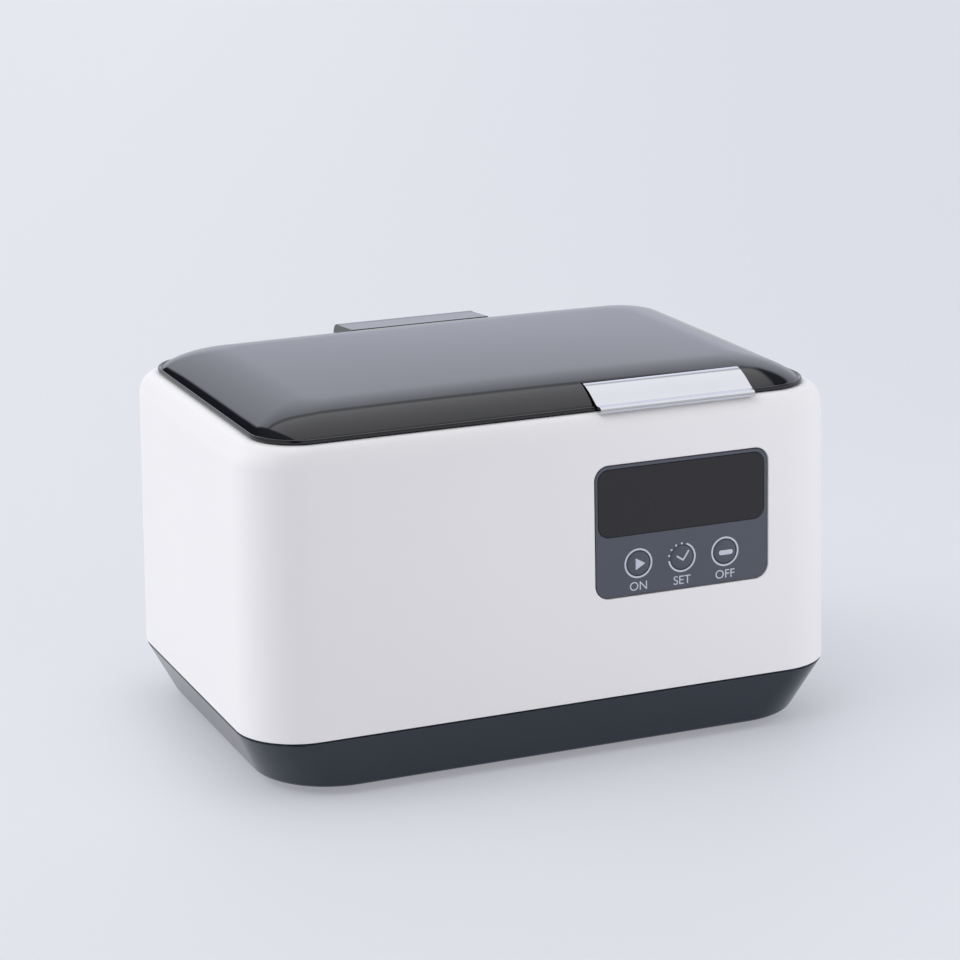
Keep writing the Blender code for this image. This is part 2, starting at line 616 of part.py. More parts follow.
def make_hinge_block(materials):
    """The fixed half of the hinge: a foot screwed to the deck, a stem and a knuckle round the steel pin."""
    pin_hole = PIN_RADIUS + 0.35 * MM
    foot_low, foot_top = NOTCH_Z + GAP, NOTCH_Z + 1.9 * MM
    foot = ((-22 * MM, 58.9 * MM, foot_low), (22 * MM, 66.2 * MM, foot_top))
    block = add_box("hinge_block", *foot, materials["slate_abs"])
    stem = 0.8 * MM
    stem_high = (KNUCKLE_HALF, HINGE_Y + stem, HINGE_Z - 1.5 * MM)
    fuse(block, add_box("hinge_stem", (-KNUCKLE_HALF, HINGE_Y - stem, NOTCH_Z + 1 * MM), stem_high))
    start = (-KNUCKLE_HALF, HINGE_Y, HINGE_Z)
    fuse(block, add_cylinder("knuckle", start, (1, 0, 0), 2 * KNUCKLE_HALF, KNUCKLE_RADIUS, sides=20))
    bore_start = (-KNUCKLE_HALF - 1 * MM, HINGE_Y, HINGE_Z)
    bore_length = 2 * KNUCKLE_HALF + 2 * MM
    cut(block, add_cylinder("knuckle_bore", bore_start, (1, 0, 0), bore_length, pin_hole, sides=12))

    pin_half = BARREL_HALF - 1.4 * MM
    pin_start = (-pin_half, HINGE_Y, HINGE_Z)
    add_cylinder("hinge_pin", pin_start, (1, 0, 0), 2 * pin_half, PIN_RADIUS, materials["steel"], sides=12)

    profile = [(0, 0.9), (1.7, 0.9), (1.7, 0.3), (1.1, 0.3), (1.1, -5.0), (0, -5.6)]
    points = [(r * MM, z * MM) for r, z in profile]
    for side, name in ((-1, "left"), (1, "right")):
        x = side * BLOCK_SCREW_X
        hole_start = (x, BLOCK_SCREW_Y, NOTCH_Z - 2 * MM)
        cut(block, add_cylinder(f"block_hole_{name}", hole_start, (0, 0, 1), 6 * MM, 1.5 * MM, sides=12))
        place = at(x, BLOCK_SCREW_Y, foot_top)
        add_turned(f"hinge_block_screw_{name}", points, materials["steel"], place, sides=12)


# ---------------------------------------------------------------- control panel


def panel_frame():
    """An empty whose XY plane is the drafted front wall at the middle of the panel, facing out."""
    frame = bpy.data.objects.new("panel_frame", None)
    PARTS.objects.link(frame)
    frame.location = (PANEL_X, -(BODY_HALF_Y - wall_inset(PANEL_Z)), PANEL_Z)
    frame.rotation_euler = (math.pi / 2 - DRAFT, 0, 0)
    return frame


def key_centre(step):
    return KEY_ROW_X + step * KEY_PITCH, KEY_ROW_Y


def make_control_panel(materials, housing, frame):
    half_x, half_y = PANEL_WIDTH / 2, PANEL_HEIGHT / 2
    back = PANEL_FACE - PANEL_THICKNESS
    out = (0, 0, 1)
    proud = 5 * MM
    recess = (half_x + GAP, half_y + GAP, PANEL_CORNER + GAP, back - GAP, proud)
    opening = (27.5 * MM, 18.5 * MM, 3 * MM, -6 * MM, proud)
    cut(housing, add_rounded_plate("panel_recess", *recess, parent=frame))
    cut(housing, add_rounded_plate("panel_opening", *opening, parent=frame))
    post_start, post_length = BOARD_FACE + GAP, -BOARD_FACE - 2.4 * MM
    for i, (x, y) in enumerate(corner_points(31 * MM, 21.6 * MM)):
        start = (x, y, post_start)
        post = add_cylinder(f"display_post_{i}", start, out, post_length, 2 * MM, parent=frame, sides=10)
        fuse(housing, post)

    panel_size = (half_x, half_y, PANEL_CORNER, back, PANEL_FACE)
    fascia = add_rounded_plate("fascia", *panel_size, materials["panel_grey"], parent=frame)
    window_x, window_y, window_r = 29.7 * MM, 11.2 * MM, 3.8 * MM
    middle = at(-0.1 * MM, 9.5 * MM, 0)
    pocket_size = (window_x + GAP, window_y + GAP, window_r, PANEL_FACE - 0.9 * MM, 3 * MM)
    sight_size = (16.5 * MM, 8 * MM, 1 * MM, -4 * MM, 3 * MM)
    pocket = add_rounded_plate("window_pocket", *pocket_size, place=middle, parent=frame)
    sight = add_rounded_plate("window_sight", *sight_size, place=middle, parent=frame)
    cut(fascia, pocket, sight)
    window_size = (window_x, window_y, window_r, PANEL_FACE - 0.6 * MM, PANEL_FACE)
    add_rounded_plate("display_window", *window_size, materials["smoked_window"], middle, frame)

    # A cap that is lightly domed, then its guide, flange and the stem that meets the plunger.
    key = [(0, 0.3), (1.6, 0.24), (3.0, 0.05), (3.8, -0.2), (4.0, -0.45), (4.0, -2.15), (4.9, -2.15)]
    key += [(4.9, -2.75), (1.5, -2.75), (1.5, -4.3), (0, -4.3)]
    plunger = [(0, -4.6), (1.6, -4.6), (1.6, -7.6), (0, -7.6)]
    key_points, plunger_points = ([(r * MM, z * MM) for r, z in profile] for profile in (key, plunger))
    black = materials["black_plastic"]
    half, switch_top, bore_low = 3.0 * MM, -6.4 * MM, -8.6 * MM
    for name, step in KEYS.items():
        x, y = key_centre(step)
        hole = add_cylinder(f"key_hole_{name}", (x, y, -4 * MM), out, 6 * MM, KEY_HOLE_RADIUS, parent=frame)
        cut(fascia, hole)
        add_turned(f"key_{name}", key_points, materials["panel_grey"], at(x, y, 0), frame)
        add_turned(f"switch_plunger_{name}", plunger_points, black, at(x, y, 0), frame, sides=12)
        low, high = (x - half, y - half, BOARD_FACE + GAP), (x + half, y + half, switch_top)
        switch = add_box(f"tact_switch_{name}", low, high, black, frame)
        bore_start = (x, y, bore_low)
        bore = add_cylinder(f"switch_bore_{name}", bore_start, out, 4 * MM, 1.95 * MM, parent=frame, sides=12)
        cut(switch, bore)

    board_low = (-33.5 * MM, -24 * MM, BOARD_FACE - 1.6 * MM)
    add_box("display_board", board_low, (33.5 * MM, 24 * MM, BOARD_FACE), materials["board_green"], frame)
    led_low = (-15.6 * MM, 2.5 * MM, BOARD_FACE + GAP)
    add_box("led_display", led_low, (15.4 * MM, 16.5 * MM, -2.8 * MM), materials["black_plastic"], frame)


# ---------------------------------------------------------------- power board


def board_post_points():
    return [(x, y) for x in (-84 * MM, -32 * MM) for y in (-32 * MM, 32 * MM)]


def make_power_board(materials):
    board_under, top = 12.0 * MM, 13.6 * MM
    board_low = (-80.5 * MM, -36 * MM, board_under)
    board = add_box("power_board", board_low, (-28 * MM, 36 * MM, top), materials["board_green"])
    for i, (x, y) in enumerate(board_post_points()[:2]):
        ear_low, ear_high = (x - 3.5 * MM, y - 3.5 * MM, board_under), (x + 5 * MM, y + 3.5 * MM, top)
        fuse(board, add_box(f"board_ear_{i}", ear_low, ear_high))

    part = top + GAP
    black = materials["black_plastic"]
    low, high = (-72 * MM, -30 * MM, part), (-46 * MM, -10 * MM, part + 20 * MM)
    core = add_box("output_transformer", low, high, black, bevel=0.6 * MM)
    grooves = [((-80 * MM, -27 * MM, part + 5 * MM), (-70.5 * MM, -13 * MM, part + 15 * MM))]
    grooves += [((-47.5 * MM, -27 * MM, part + 5 * MM), (-40 * MM, -13 * MM, part + 15 * MM))]
    cut(core, joined_boxes("winding_windows", grooves))
    low, high = (-42 * MM, -31 * MM, part), (-32 * MM, -8 * MM, part + 16 * MM)
    add_box("film_capacitor", low, high, materials["yellow_film"], bevel=0.8 * MM)
    profile = [(0, 25), (6.6, 25), (7.4, 24.2), (7.4, 0.6), (6.9, 0), (0, 0)]
    points = [(r * MM, z * MM) for r, z in profile]
    add_turned("smoothing_capacitor", points, black, at(-38.5 * MM, 3 * MM, part))

    low, high = (-70 * MM, 8 * MM, part), (-48 * MM, 20 * MM, part + 24 * MM)
    sink = add_box("heatsink", low, high, materials["aluminium"])
    slots = []
    for i in range(4):
        x = -66.6 * MM + i * 4.5 * MM
        slots.append(((x - 1.3 * MM, 5 * MM, part - 1 * MM), (x + 1.3 * MM, 17 * MM, part + 26 * MM)))
    cut(sink, joined_boxes("fin_slots", slots))
    device_y = 20 * MM + GAP
    low, high = (-64 * MM, device_y, part + 4 * MM), (-54 * MM, device_y + 4.4 * MM, part + 20 * MM)
    add_box("power_transistor", low, high, black)
    fuse_start, fuse_length, fuse_radius = (-44 * MM, 27 * MM, part + 2.7 * MM), 14 * MM, 2.6 * MM
    glass = materials["silicone"]
    add_cylinder("mains_fuse", fuse_start, (1, 0, 0), fuse_length, fuse_radius, glass, sides=14)


# ---------------------------------------------------------------- fan and mains inlet


def make_fan(materials, housing):
    half = FAN_SIZE / 2
    back_y = FAN_FRONT_Y + FAN_DEPTH
    back = (0, 1, 0)
    bore, hub = 18.6 * MM, 9.0 * MM
    web = 1.5 * MM
    black = materials["black_plastic"]
    low, high = (FAN_X - half, FAN_FRONT_Y, FAN_Z - half), (FAN_X + half, back_y, FAN_Z + half)
    frame = add_box("fan_frame", low, high, black)
    start = (FAN_X, FAN_FRONT_Y - 1 * MM, FAN_Z)
    cut(frame, add_cylinder("fan_bore", start, back, FAN_DEPTH - web + 1 * MM, bore, sides=28))
    # Behind the blades the web has open windows round a hub disc, with a cross of struts.
    window_start, disc_start = (FAN_X, back_y - 3 * MM, FAN_Z), (FAN_X, back_y - 4 * MM, FAN_Z)
    windows = add_cylinder("fan_windows", window_start, back, 6 * MM, bore - 0.8 * MM, sides=28)
    cut(windows, add_cylinder("fan_hub_disc", disc_start, back, 8 * MM, hub, sides=24))
    thin, long = 1.2 * MM, 22 * MM
    for i, (reach_x, reach_z) in enumerate(((thin, long), (long, thin))):
        low = (FAN_X - reach_x, back_y - 4 * MM, FAN_Z - reach_z)
        high = (FAN_X + reach_x, back_y + 4 * MM, FAN_Z + reach_z)
        cut(windows, joined_boxes(f"fan_strut_{i}", [(low, high)]))
    cut(frame, windows)
    bearing_start = (FAN_X, back_y - 5 * MM, FAN_Z)
    cut(frame, add_cylinder("fan_bearing", bearing_start, back, 8 * MM, 1.5 * MM, sides=12))

    # The rotor's local +Z is the spin axis, which points to the back of the cleaner.
    rotor_place = at(FAN_X, FAN_FRONT_Y + 0.6 * MM, FAN_Z) @ turn_to((0, 1, 0))
    profile = [(0, 9.2), (1.1, 9.2), (1.1, 7.4), (8.4, 7.4), (8.4, 0.8), (7.6, 0), (0, 0)]
    points = [(r * MM, z * MM) for r, z in profile]
    rotor = add_turned("fan_rotor", points, black, rotor_place, sides=20)
    pitch = math.radians(38)
    blades = bmesh.new()
    for i in range(7):
        turn = Matrix.Rotation(2 * math.pi * i / 7, 4, "Z")
        middle = at((17.8 + 7.6) / 2 * MM, 0, 3.7 * MM)
        size = Matrix.Diagonal((10.2 * MM, 0.9 * MM, 8.0 * MM, 1.0))
        bmesh.ops.create_cube(blades, size=1.0, matrix=turn @ middle @ Matrix.Rotation(pitch, 4, "X") @ size)
    fuse(rotor, add_object("fan_blades", mesh_from(blades, "fan_blades"), None, rotor_place))

    for side, name in ((-1, "lower"), (1, "upper")):
        x, z = FAN_X + side * 16 * MM, FAN_Z + side * 16 * MM
        hole_start = (x, FAN_FRONT_Y - 1 * MM, z)
        cut(frame, add_cylinder(f"fan_hole_{name}", hole_start, back, FAN_DEPTH + 2 * MM, 1.9 * MM, sides=12))
        # Each screw ends in a short boss on the inside of the back wall.
        wall_y = BODY_HALF_Y - wall_inset(z) - WALL
        boss_start, boss_length = (x, back_y + GAP, z), wall_y - back_y + 1 * MM
        fuse(housing, add_cylinder(f"fan_boss_{name}", boss_start, back, boss_length, 3.2 * MM, sides=12))
        pilot_start = (x, back_y - 1 * MM, z)
        cut(housing, add_cylinder(f"fan_pilot_{name}", pilot_start, back, 3.6 * MM, 1.7 * MM, sides=10))
        profile = [(0, 12.0), (1.3, 12.0), (1.3, 0), (2.7, 0), (2.7, -1.2), (2.0, -1.8), (0, -1.8)]
        points = [(r * MM, z_ * MM) for r, z_ in profile]
        place = at(x, FAN_FRONT_Y - GAP, z) @ turn_to((0, 1, 0))
        add_turned(f"fan_screw_{name}", points, materials["steel"], place, sides=12)

    slots = []
    for row in range(7):
        z = FAN_Z + (row - 3) * 5.2 * MM
        reach = math.sqrt((18.5 * MM) ** 2 - (z - FAN_Z) ** 2)
        slots.append(((FAN_X - reach, 60 * MM, z - 1.3 * MM), (FAN_X + reach, 75 * MM, z + 1.3 * MM)))
    cut(housing, joined_boxes("exhaust_slots", slots))


def make_inlet(materials, housing):
    """A two-pin appliance inlet, let into the back wall, with its socket facing out."""
    wall_y = BODY_HALF_Y - wall_inset(INLET_Z + 10 * MM)
    facing = at(INLET_X, wall_y - 0.5 * MM, INLET_Z) @ turn_to((0, 1, 0))
    flange_z, body_back = -1.5 * MM, -19 * MM
    proud = 6 * MM
    recess = (13.6 * MM, 10.1 * MM, 2.3 * MM, flange_z - GAP, proud)
    opening = (11.3 * MM, 7.8 * MM, 1.8 * MM, -8 * MM, proud)
    cut(housing, add_rounded_plate("inlet_recess", *recess, place=facing))
    cut(housing, add_rounded_plate("inlet_opening", *opening, place=facing))
    flange, body = (13.3 * MM, 9.8 * MM, 2.0 * MM), (11.0 * MM, 7.5 * MM, 1.5 * MM)
    steps = [(*flange, 0.0), (*flange, flange_z), (*body, flange_z), (*body, body_back)]
    rings = [rounded_ring(*step) for step in steps]
    inlet = add_loft("mains_inlet", rings, materials["black_plastic"], place=facing)
    socket = (7.6 * MM, 3.9 * MM, 3.85 * MM, -13.0 * MM, 4 * MM)
    cut(inlet, add_rounded_plate("inlet_socket", *socket, place=facing))
    back, brass = (0, 1, 0), materials["brass"]
    for side, name in ((-1, "left"), (1, "right")):
        x = INLET_X + side * 4.3 * MM
        hole_start, pin_start = (x, wall_y - 24 * MM, INLET_Z), (x, wall_y - 23 * MM, INLET_Z)
        cut(inlet, add_cylinder(f"inlet_hole_{name}", hole_start, back, 12 * MM, 1.5 * MM, sides=12))
        add_cylinder(f"inlet_pin_{name}", pin_start, back, 19.5 * MM, 1.15 * MM, brass, sides=12)
    return wall_y + body_back


def make_leads(materials, tab_z, inlet_back):
    """Wires inside the housing, each bundle along its own route."""
    board = 13.6 * MM + GAP
    transducer = [(21.6 * MM, 0, tab_z - 1.6 * MM), (24 * MM, -6 * MM, 24 * MM), (14 * MM, -24 * MM, 14 * MM)]
    transducer += [(-10 * MM, -27 * MM, 11 * MM), (-24 * MM, -23 * MM, 15 * MM)]
    transducer += [(-29.4 * MM, -20 * MM, board + 1.5 * MM)]
    add_lead("transducer_lead", transducer, 1.1 * MM, materials["wire"])

    mains = [(INLET_X, inlet_back - 5.5 * MM, 31 * MM), (INLET_X + 4 * MM, inlet_back - 10 * MM, 24 * MM)]
    mains += [(INLET_X + 7 * MM, 32 * MM, board + 2 * MM)]
    add_lead("mains_lead", mains, 1.4 * MM, materials["black_plastic"])

    display = [(22 * MM, -55.4 * MM, 56 * MM), (18 * MM, -52.5 * MM, 40 * MM), (4 * MM, -48 * MM, 18 * MM)]
    display += [(-16 * MM, -41 * MM, 14.5 * MM), (-31 * MM, -32 * MM, board + 2.4 * MM)]
    add_lead("display_lead", display, 1.3 * MM, materials["wire"])

    fan = [(50 * MM, FAN_FRONT_Y - 1.5 * MM, 26 * MM), (38 * MM, 46 * MM, 16 * MM)]
    fan += [(8 * MM, 34 * MM, 10 * MM), (-16 * MM, 26 * MM, 12 * MM), (-29.5 * MM, 20 * MM, board + 1.5 * MM)]
    add_lead("fan_lead", fan, 1.1 * MM, materials["black_plastic"])


def main():
    clear_scene()
    materials = make_materials()
    housing = make_housing(materials)
    make_base_tray(materials)
    make_feet_and_screws(materials)
    make_tank(materials)
    tab_z = make_transducer(materials)
    make_lid(materials)
    make_lid_liner(materials)
    make_handle(materials)
    make_hinge_cover(materials)
    make_hinge_block(materials)
    make_control_panel(materials, housing, panel_frame())
    make_power_board(materials)
    make_fan(materials, housing)
    inlet_back = make_inlet(materials, housing)
    make_leads(materials, tab_z, inlet_back)


main()
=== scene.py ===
import json
import math

import bmesh
import bpy
from mathutils import Matrix, Vector


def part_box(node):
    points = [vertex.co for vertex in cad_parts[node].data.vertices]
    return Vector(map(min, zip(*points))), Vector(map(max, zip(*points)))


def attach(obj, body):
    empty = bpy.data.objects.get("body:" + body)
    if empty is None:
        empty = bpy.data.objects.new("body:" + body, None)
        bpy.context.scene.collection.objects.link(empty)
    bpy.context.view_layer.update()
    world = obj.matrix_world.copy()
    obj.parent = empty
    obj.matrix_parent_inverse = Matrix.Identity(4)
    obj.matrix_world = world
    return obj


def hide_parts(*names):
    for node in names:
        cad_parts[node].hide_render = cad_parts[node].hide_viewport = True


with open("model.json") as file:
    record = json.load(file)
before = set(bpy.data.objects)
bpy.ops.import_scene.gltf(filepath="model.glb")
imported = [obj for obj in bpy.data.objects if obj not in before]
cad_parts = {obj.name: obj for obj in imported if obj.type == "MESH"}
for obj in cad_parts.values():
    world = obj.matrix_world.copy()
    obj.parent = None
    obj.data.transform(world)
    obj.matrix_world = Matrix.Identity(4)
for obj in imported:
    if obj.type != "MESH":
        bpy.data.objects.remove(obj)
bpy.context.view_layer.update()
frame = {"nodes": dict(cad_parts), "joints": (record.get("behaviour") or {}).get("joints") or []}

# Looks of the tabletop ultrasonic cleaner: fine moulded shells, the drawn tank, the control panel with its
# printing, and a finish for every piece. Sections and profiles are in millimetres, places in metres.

MM = 0.001
GAP = 0.3
ROUND = 18  # segments in each rounded corner
CORNERS = ((1, 1), (-1, 1), (-1, -1), (1, -1))
NODES, JOINTS = frame["nodes"], {joint["name"]: joint for joint in frame["joints"]}


def millimetres(node):
    """Lowest and highest corner of a CAD node."""
    low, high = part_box(node)
    return low / MM, high / MM


# Outer shells. An outline is half width, half depth and corner radius. A section adds its height.
BODY_X, BODY_Y, SEAM_Z = millimetres("housing")[1]
BODY_CORNER, PARTING_Z, WALL = 21.2, 20.3, 3.0
SHOULDER_Z, RIM_X, RIM_Y, RIM_CORNER = 107.6, 96.0, 64.4, 16.4
DECK_Z, DECK_UNDER = 112.4, 109.4
TANK_X, TANK_Y, TANK_CORNER, TANK_TOP = 77.5, 47.5, 14.0, millimetres("tank")[1].z
LID_X, LID_Y = millimetres("lid_shell")[1].xy
LID_CORNER, LID_BOTTOM_Z, LID_RIM_Z = 16.0, millimetres("lid_shell")[0].z, 116.6
DOME_FOOT_Z, DOME_INSET, DOME_RUN, DOME_RISE, DOME_CROWN = 115.8, 1.16, 22.32, 7.22, 1.36
DOME_EASE, DOME_BULGE = 2.2, 1.3376  # how softly the dome meets its flat middle, and how full its edge is
HINGE_Y, HINGE_Z = (value / MM for value in JOINTS["lid_hinge"]["pos_m"][1:])
BARREL_HALF = millimetres("hinge_cover")[1].x

# Control panel, on the drafted front wall. Its own plane has +X right, +Y up and +Z out of the wall.
OUTWARD = -Vector(JOINTS["on_press"]["axis"])
DRAFT_SLOPE = OUTWARD.z / -OUTWARD.y
PANEL_X, PANEL_Z, PANEL_FACE = 43.55, 75.72, -0.25
PANEL = (30.85, 21.9, 4.6)
WINDOW, WINDOW_PLACE = (29.7, 11.2, 3.8), (-0.1, 9.5)
KEY_HOLE = 4.2
KEY_STEPS = {"on": -1, "set": 0, "off": 1}
KEY_PITCH, KEY_ROW = 15.6, (-0.25, -11.4)

FAN_X, FAN_Z = (value / MM for value in JOINTS["fan_spin"]["pos_m"][::2])
INLET_X, INLET_Z = -62.0, 40.0
INLET_BODY, INLET_FLANGE = (11.0, 7.5, 1.5), (13.3, 9.8, 2.0)
SLOT_HALF = 1.3  # half the width of an air slot
POST_PLACES = [(sx * 87.0, sy * 40.0) for sx, sy in CORNERS]
SIDES = {-1: "left", 1: "right"}
ENDS = {-1: "front", 1: "rear"}


def wall_inset(z):
    """How far the drafted wall has moved in from its size at the parting line."""
    return (z - PARTING_Z) * DRAFT_SLOPE


def inset_by(outline, inset, z):
    """The section this far inside an outline."""
    return (*(value - inset for value in outline), z)


def quarter(steps):
    """Sine and cosine of evenly spaced angles over a quarter turn, for a rounded edge."""
    angles = [math.pi / 2 * step / steps for step in range(steps + 1)]
    return [(math.sin(angle), math.cos(angle)) for angle in angles]


# ---------------------------------------------------------------- modelling by hand, in code


def pick(*objects):
    """Makes these the only selected objects, with the first one active."""
    bpy.ops.object.select_all(action="DESELECT")
    for obj in objects:
        obj.select_set(True)
    bpy.context.view_layer.objects.active = objects[0]


def start(name, add, **settings):
    """Adds a primitive with nothing else selected and enters edit mode on it, in world coordinates."""
    if bpy.context.object and bpy.context.object.mode == "EDIT":
        bpy.ops.object.mode_set(mode="OBJECT")
    bpy.ops.object.select_all(action="DESELECT")
    add(**settings)
    obj = bpy.context.object
    obj.name = name
    bpy.ops.object.transform_apply(location=True, rotation=True, scale=True)
    bpy.ops.object.mode_set(mode="EDIT")
    bpy.ops.mesh.select_mode(type="VERT")
    return obj


def select_only(mesh, wanted):
    for vert in mesh.verts:
        vert.select_set(False)
    for vert in wanted:
        vert.select_set(True)
    mesh.select_flush_mode()


def selected(obj):
    mesh = bmesh.from_edit_mesh(obj.data)
    return mesh, [vert for vert in mesh.verts if vert.select]


def close_up(obj):
    """Turns every face outwards and leaves edit mode."""
    bpy.ops.mesh.select_all(action="SELECT")
    bpy.ops.mesh.normals_make_consistent(inside=False)
    bpy.ops.object.mode_set(mode="OBJECT")
    return obj


def next_section(obj, old, new):
    """Extrudes the selected outline to its next section, and fits its sides and corner radius."""
    bpy.ops.mesh.extrude_region_move(TRANSFORM_OT_translate={"value": (0, 0, (new[3] - old[3]) * MM)})
    mesh, ring = selected(obj)
    grow = new[2] / old[2]
    for sx, sy in CORNERS:
        select_only(mesh, [vert for vert in ring if vert.co.x * sx > 0 and vert.co.y * sy > 0])
        centre = (sx * (old[0] - old[2]) * MM, sy * (old[1] - old[2]) * MM, new[3] * MM)
        bpy.ops.transform.resize(value=(grow, grow, 1), center_override=centre)
        shift_x = new[0] - new[2] - old[0] + old[2]
        shift_y = new[1] - new[2] - old[1] + old[2]
        bpy.ops.transform.translate(value=(sx * shift_x * MM, sy * shift_y * MM, 0))
    select_only(mesh, ring)


def rounded_shell(name, sections, hollow=False, corner=ROUND):
    """A solid through rounded rectangles. A hollow one bridges its last outline to its first."""
    half_x, half_y, radius, z = sections[0]
    obj = start(name, bpy.ops.mesh.primitive_plane_add, size=2 * MM, location=(0, 0, z * MM))
    bpy.ops.mesh.select_all(action="SELECT")
    bpy.ops.transform.resize(value=(half_x, half_y, 1), center_override=(0, 0, z * MM))
    bpy.ops.mesh.bevel(offset=radius * MM, segments=corner, affect="VERTICES")
    for old, new in zip(sections, sections[1:]):
        next_section(obj, old, new)
    if hollow:
        bpy.ops.mesh.select_mode(type="FACE")
        for face in bmesh.from_edit_mesh(obj.data).faces:
            face.select_set(len(face.verts) > 4)
        bpy.ops.mesh.bridge_edge_loops()
    return close_up(obj)


def rounded_block(name, outline, low_z, high_z, corner=ROUND):
    return rounded_shell(name, [(*outline, low_z), (*outline, high_z)], corner=corner)


def turned(name, profile, segments=48):
    """A round solid about +Z, through (radius, height) steps, with a flat cap at each end."""
    radius, z = profile[0]
    settings = {"vertices": segments, "radius": radius * MM, "fill_type": "NGON", "location": (0, 0, z * MM)}
    obj = start(name, bpy.ops.mesh.primitive_circle_add, **settings)
    bpy.ops.mesh.select_all(action="SELECT")
    for (old_radius, old_z), (radius, z) in zip(profile, profile[1:]):
        bpy.ops.mesh.extrude_region_move(TRANSFORM_OT_translate={"value": (0, 0, (z - old_z) * MM)})
        grow = radius / old_radius
        bpy.ops.transform.resize(value=(grow, grow, 1), center_override=(0, 0, z * MM))
    return close_up(obj)


def run_of_section(name, outline, low_x, high_x, rounds=0):
    """A closed (y, z) outline run along X: one edge extruded from point to point, then bridged and capped."""
    obj = start(name, bpy.ops.mesh.primitive_plane_add, size=2 * MM)
    mesh = bmesh.from_edit_mesh(obj.data)
    select_only(mesh, [vert for vert in mesh.verts if vert.co.y > 0])
    bpy.ops.mesh.delete(type="VERT")
    bpy.ops.mesh.select_all(action="SELECT")
    bpy.ops.transform.resize(value=((high_x - low_x) / 2, 1, 1), center_override=(0, 0, 0))
    y, z = outline[0]
    bpy.ops.transform.translate(value=((low_x + high_x) / 2 * MM, (y + 1) * MM, z * MM))
    for (old_y, old_z), (y, z) in zip(outline, outline[1:]):
        step = (0, (y - old_y) * MM, (z - old_z) * MM)
        bpy.ops.mesh.extrude_region_move(TRANSFORM_OT_translate={"value": step})
    bpy.ops.mesh.select_mode(type="EDGE")
    mesh = bmesh.from_edit_mesh(obj.data)
    for edge in mesh.edges:
        across = abs(edge.verts[0].co.x - edge.verts[1].co.x) > 0.5 * (high_x - low_x) * MM
        edge.select_set(edge.is_boundary and across)
    bpy.ops.mesh.bridge_edge_loops()
    if rounds:
        bpy.ops.object.mode_set(mode="OBJECT")
        apply(obj, "SUBSURF", levels=rounds, render_levels=rounds)
        bpy.ops.object.mode_set(mode="EDIT")
    bpy.ops.mesh.select_all(action="SELECT")
    bpy.ops.mesh.fill_holes(sides=0)
    return close_up(obj)


def box(name, low, high):
    """A plain block between two corners, for a cutter or the start of a piece."""
    low, high = Vector(low) * MM, Vector(high) * MM
    obj = start(name, bpy.ops.mesh.primitive_cube_add, size=1, location=(low + high) / 2)
    bpy.ops.mesh.select_all(action="SELECT")
    bpy.ops.transform.resize(value=high - low, center_override=(low + high) / 2)
    bpy.ops.object.mode_set(mode="OBJECT")
    return obj


def apply(obj, kind, **settings):
    """Adds a modifier with its settings and applies it."""
    pick(obj)
    modifier = obj.modifiers.new(kind.lower(), kind)
    for name, value in settings.items():
        setattr(modifier, name, value)
    bpy.ops.object.modifier_apply(modifier=modifier.name)
    return obj


def combine(obj, operation, others):
    for other in others:
        apply(obj, "BOOLEAN", operation=operation, object=other, solver="EXACT")
        bpy.data.objects.remove(other)
    return obj


def cut(obj, *others):
    return combine(obj, "DIFFERENCE", others)


def fuse(obj, *others):
    return combine(obj, "UNION", others)


def soften(obj, width, segments=3, angle=50):
    """Rounds the edges that are sharper than an angle."""
    limit = math.radians(angle)
    return apply(obj, "BEVEL", width=width * MM, segments=segments, limit_method="ANGLE", angle_limit=limit)


def smooth(obj, angle=32, weighted=True):
    """Smooth shading between sharp edges; the large faces keep their own direction."""
    pick(obj)
    bpy.ops.object.shade_smooth_by_angle(angle=math.radians(angle))
    if weighted:
        apply(obj, "WEIGHTED_NORMAL", keep_sharp=True, weight=80)
    return obj


def place(obj, matrix):
    """Moves a piece to its place and puts that place in its mesh."""
    pick(obj)
    obj.matrix_world = matrix
    bpy.ops.object.transform_apply(location=True, rotation=True, scale=True)
    return obj


def copy_to(obj, name, matrix):
    made = obj.copy()
    made.data = obj.data.copy()
    made.name = name
    bpy.context.scene.collection.objects.link(made)
    return place(made, matrix)


def facing(direction, x, y, z):
    """The matrix that stands a piece's +Z along a direction, at a place in millimetres."""
    turn = Vector((0, 0, 1)).rotation_difference(Vector(direction)).to_matrix().to_4x4()
    return Matrix.Translation(Vector((x, y, z)) * MM) @ turn


def shift(x, y, z=0):
    """The matrix that moves a piece to a place in millimetres."""
    return Matrix.Translation((x * MM, y * MM, z * MM))


def middle_of(node):
    """The matrix that moves a piece over the middle of a CAD node, seen from above."""
    low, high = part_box(node)
    return Matrix.Translation(((low.x + high.x) / 2, (low.y + high.y) / 2, 0))


def rod(name, radius, low_z, high_z, segments=32):
    return turned(name, [(radius, low_z), (radius, high_z)], segments)


def finish(obj, material, body, *nodes):
    """Gives a piece its material and slot, its body, and the CAD nodes that it stands for."""
    obj.data.materials.clear()
    obj.data.materials.append(material)
    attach(obj, body)
    if nodes:
        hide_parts(*nodes)
    return obj


# ---------------------------------------------------------------- materials


def linear(hex_colour):
    """An sRGB hex colour as a linear RGBA tuple."""
    values = [int(hex_colour[i:i + 2], 16) / 255 for i in (1, 3, 5)]
    return (*(v / 12.92 if v <= 0.04045 else ((v + 0.055) / 1.055) ** 2.4 for v in values), 1.0)


def feed(tree, target, inputs):
    """Fills a node's inputs. An input is a value, or another node's output socket to link."""
    for name, value in inputs.items():
        if isinstance(value, bpy.types.NodeSocket):
            tree.links.new(value, target.inputs[name])
        else:
            target.inputs[name].default_value = value


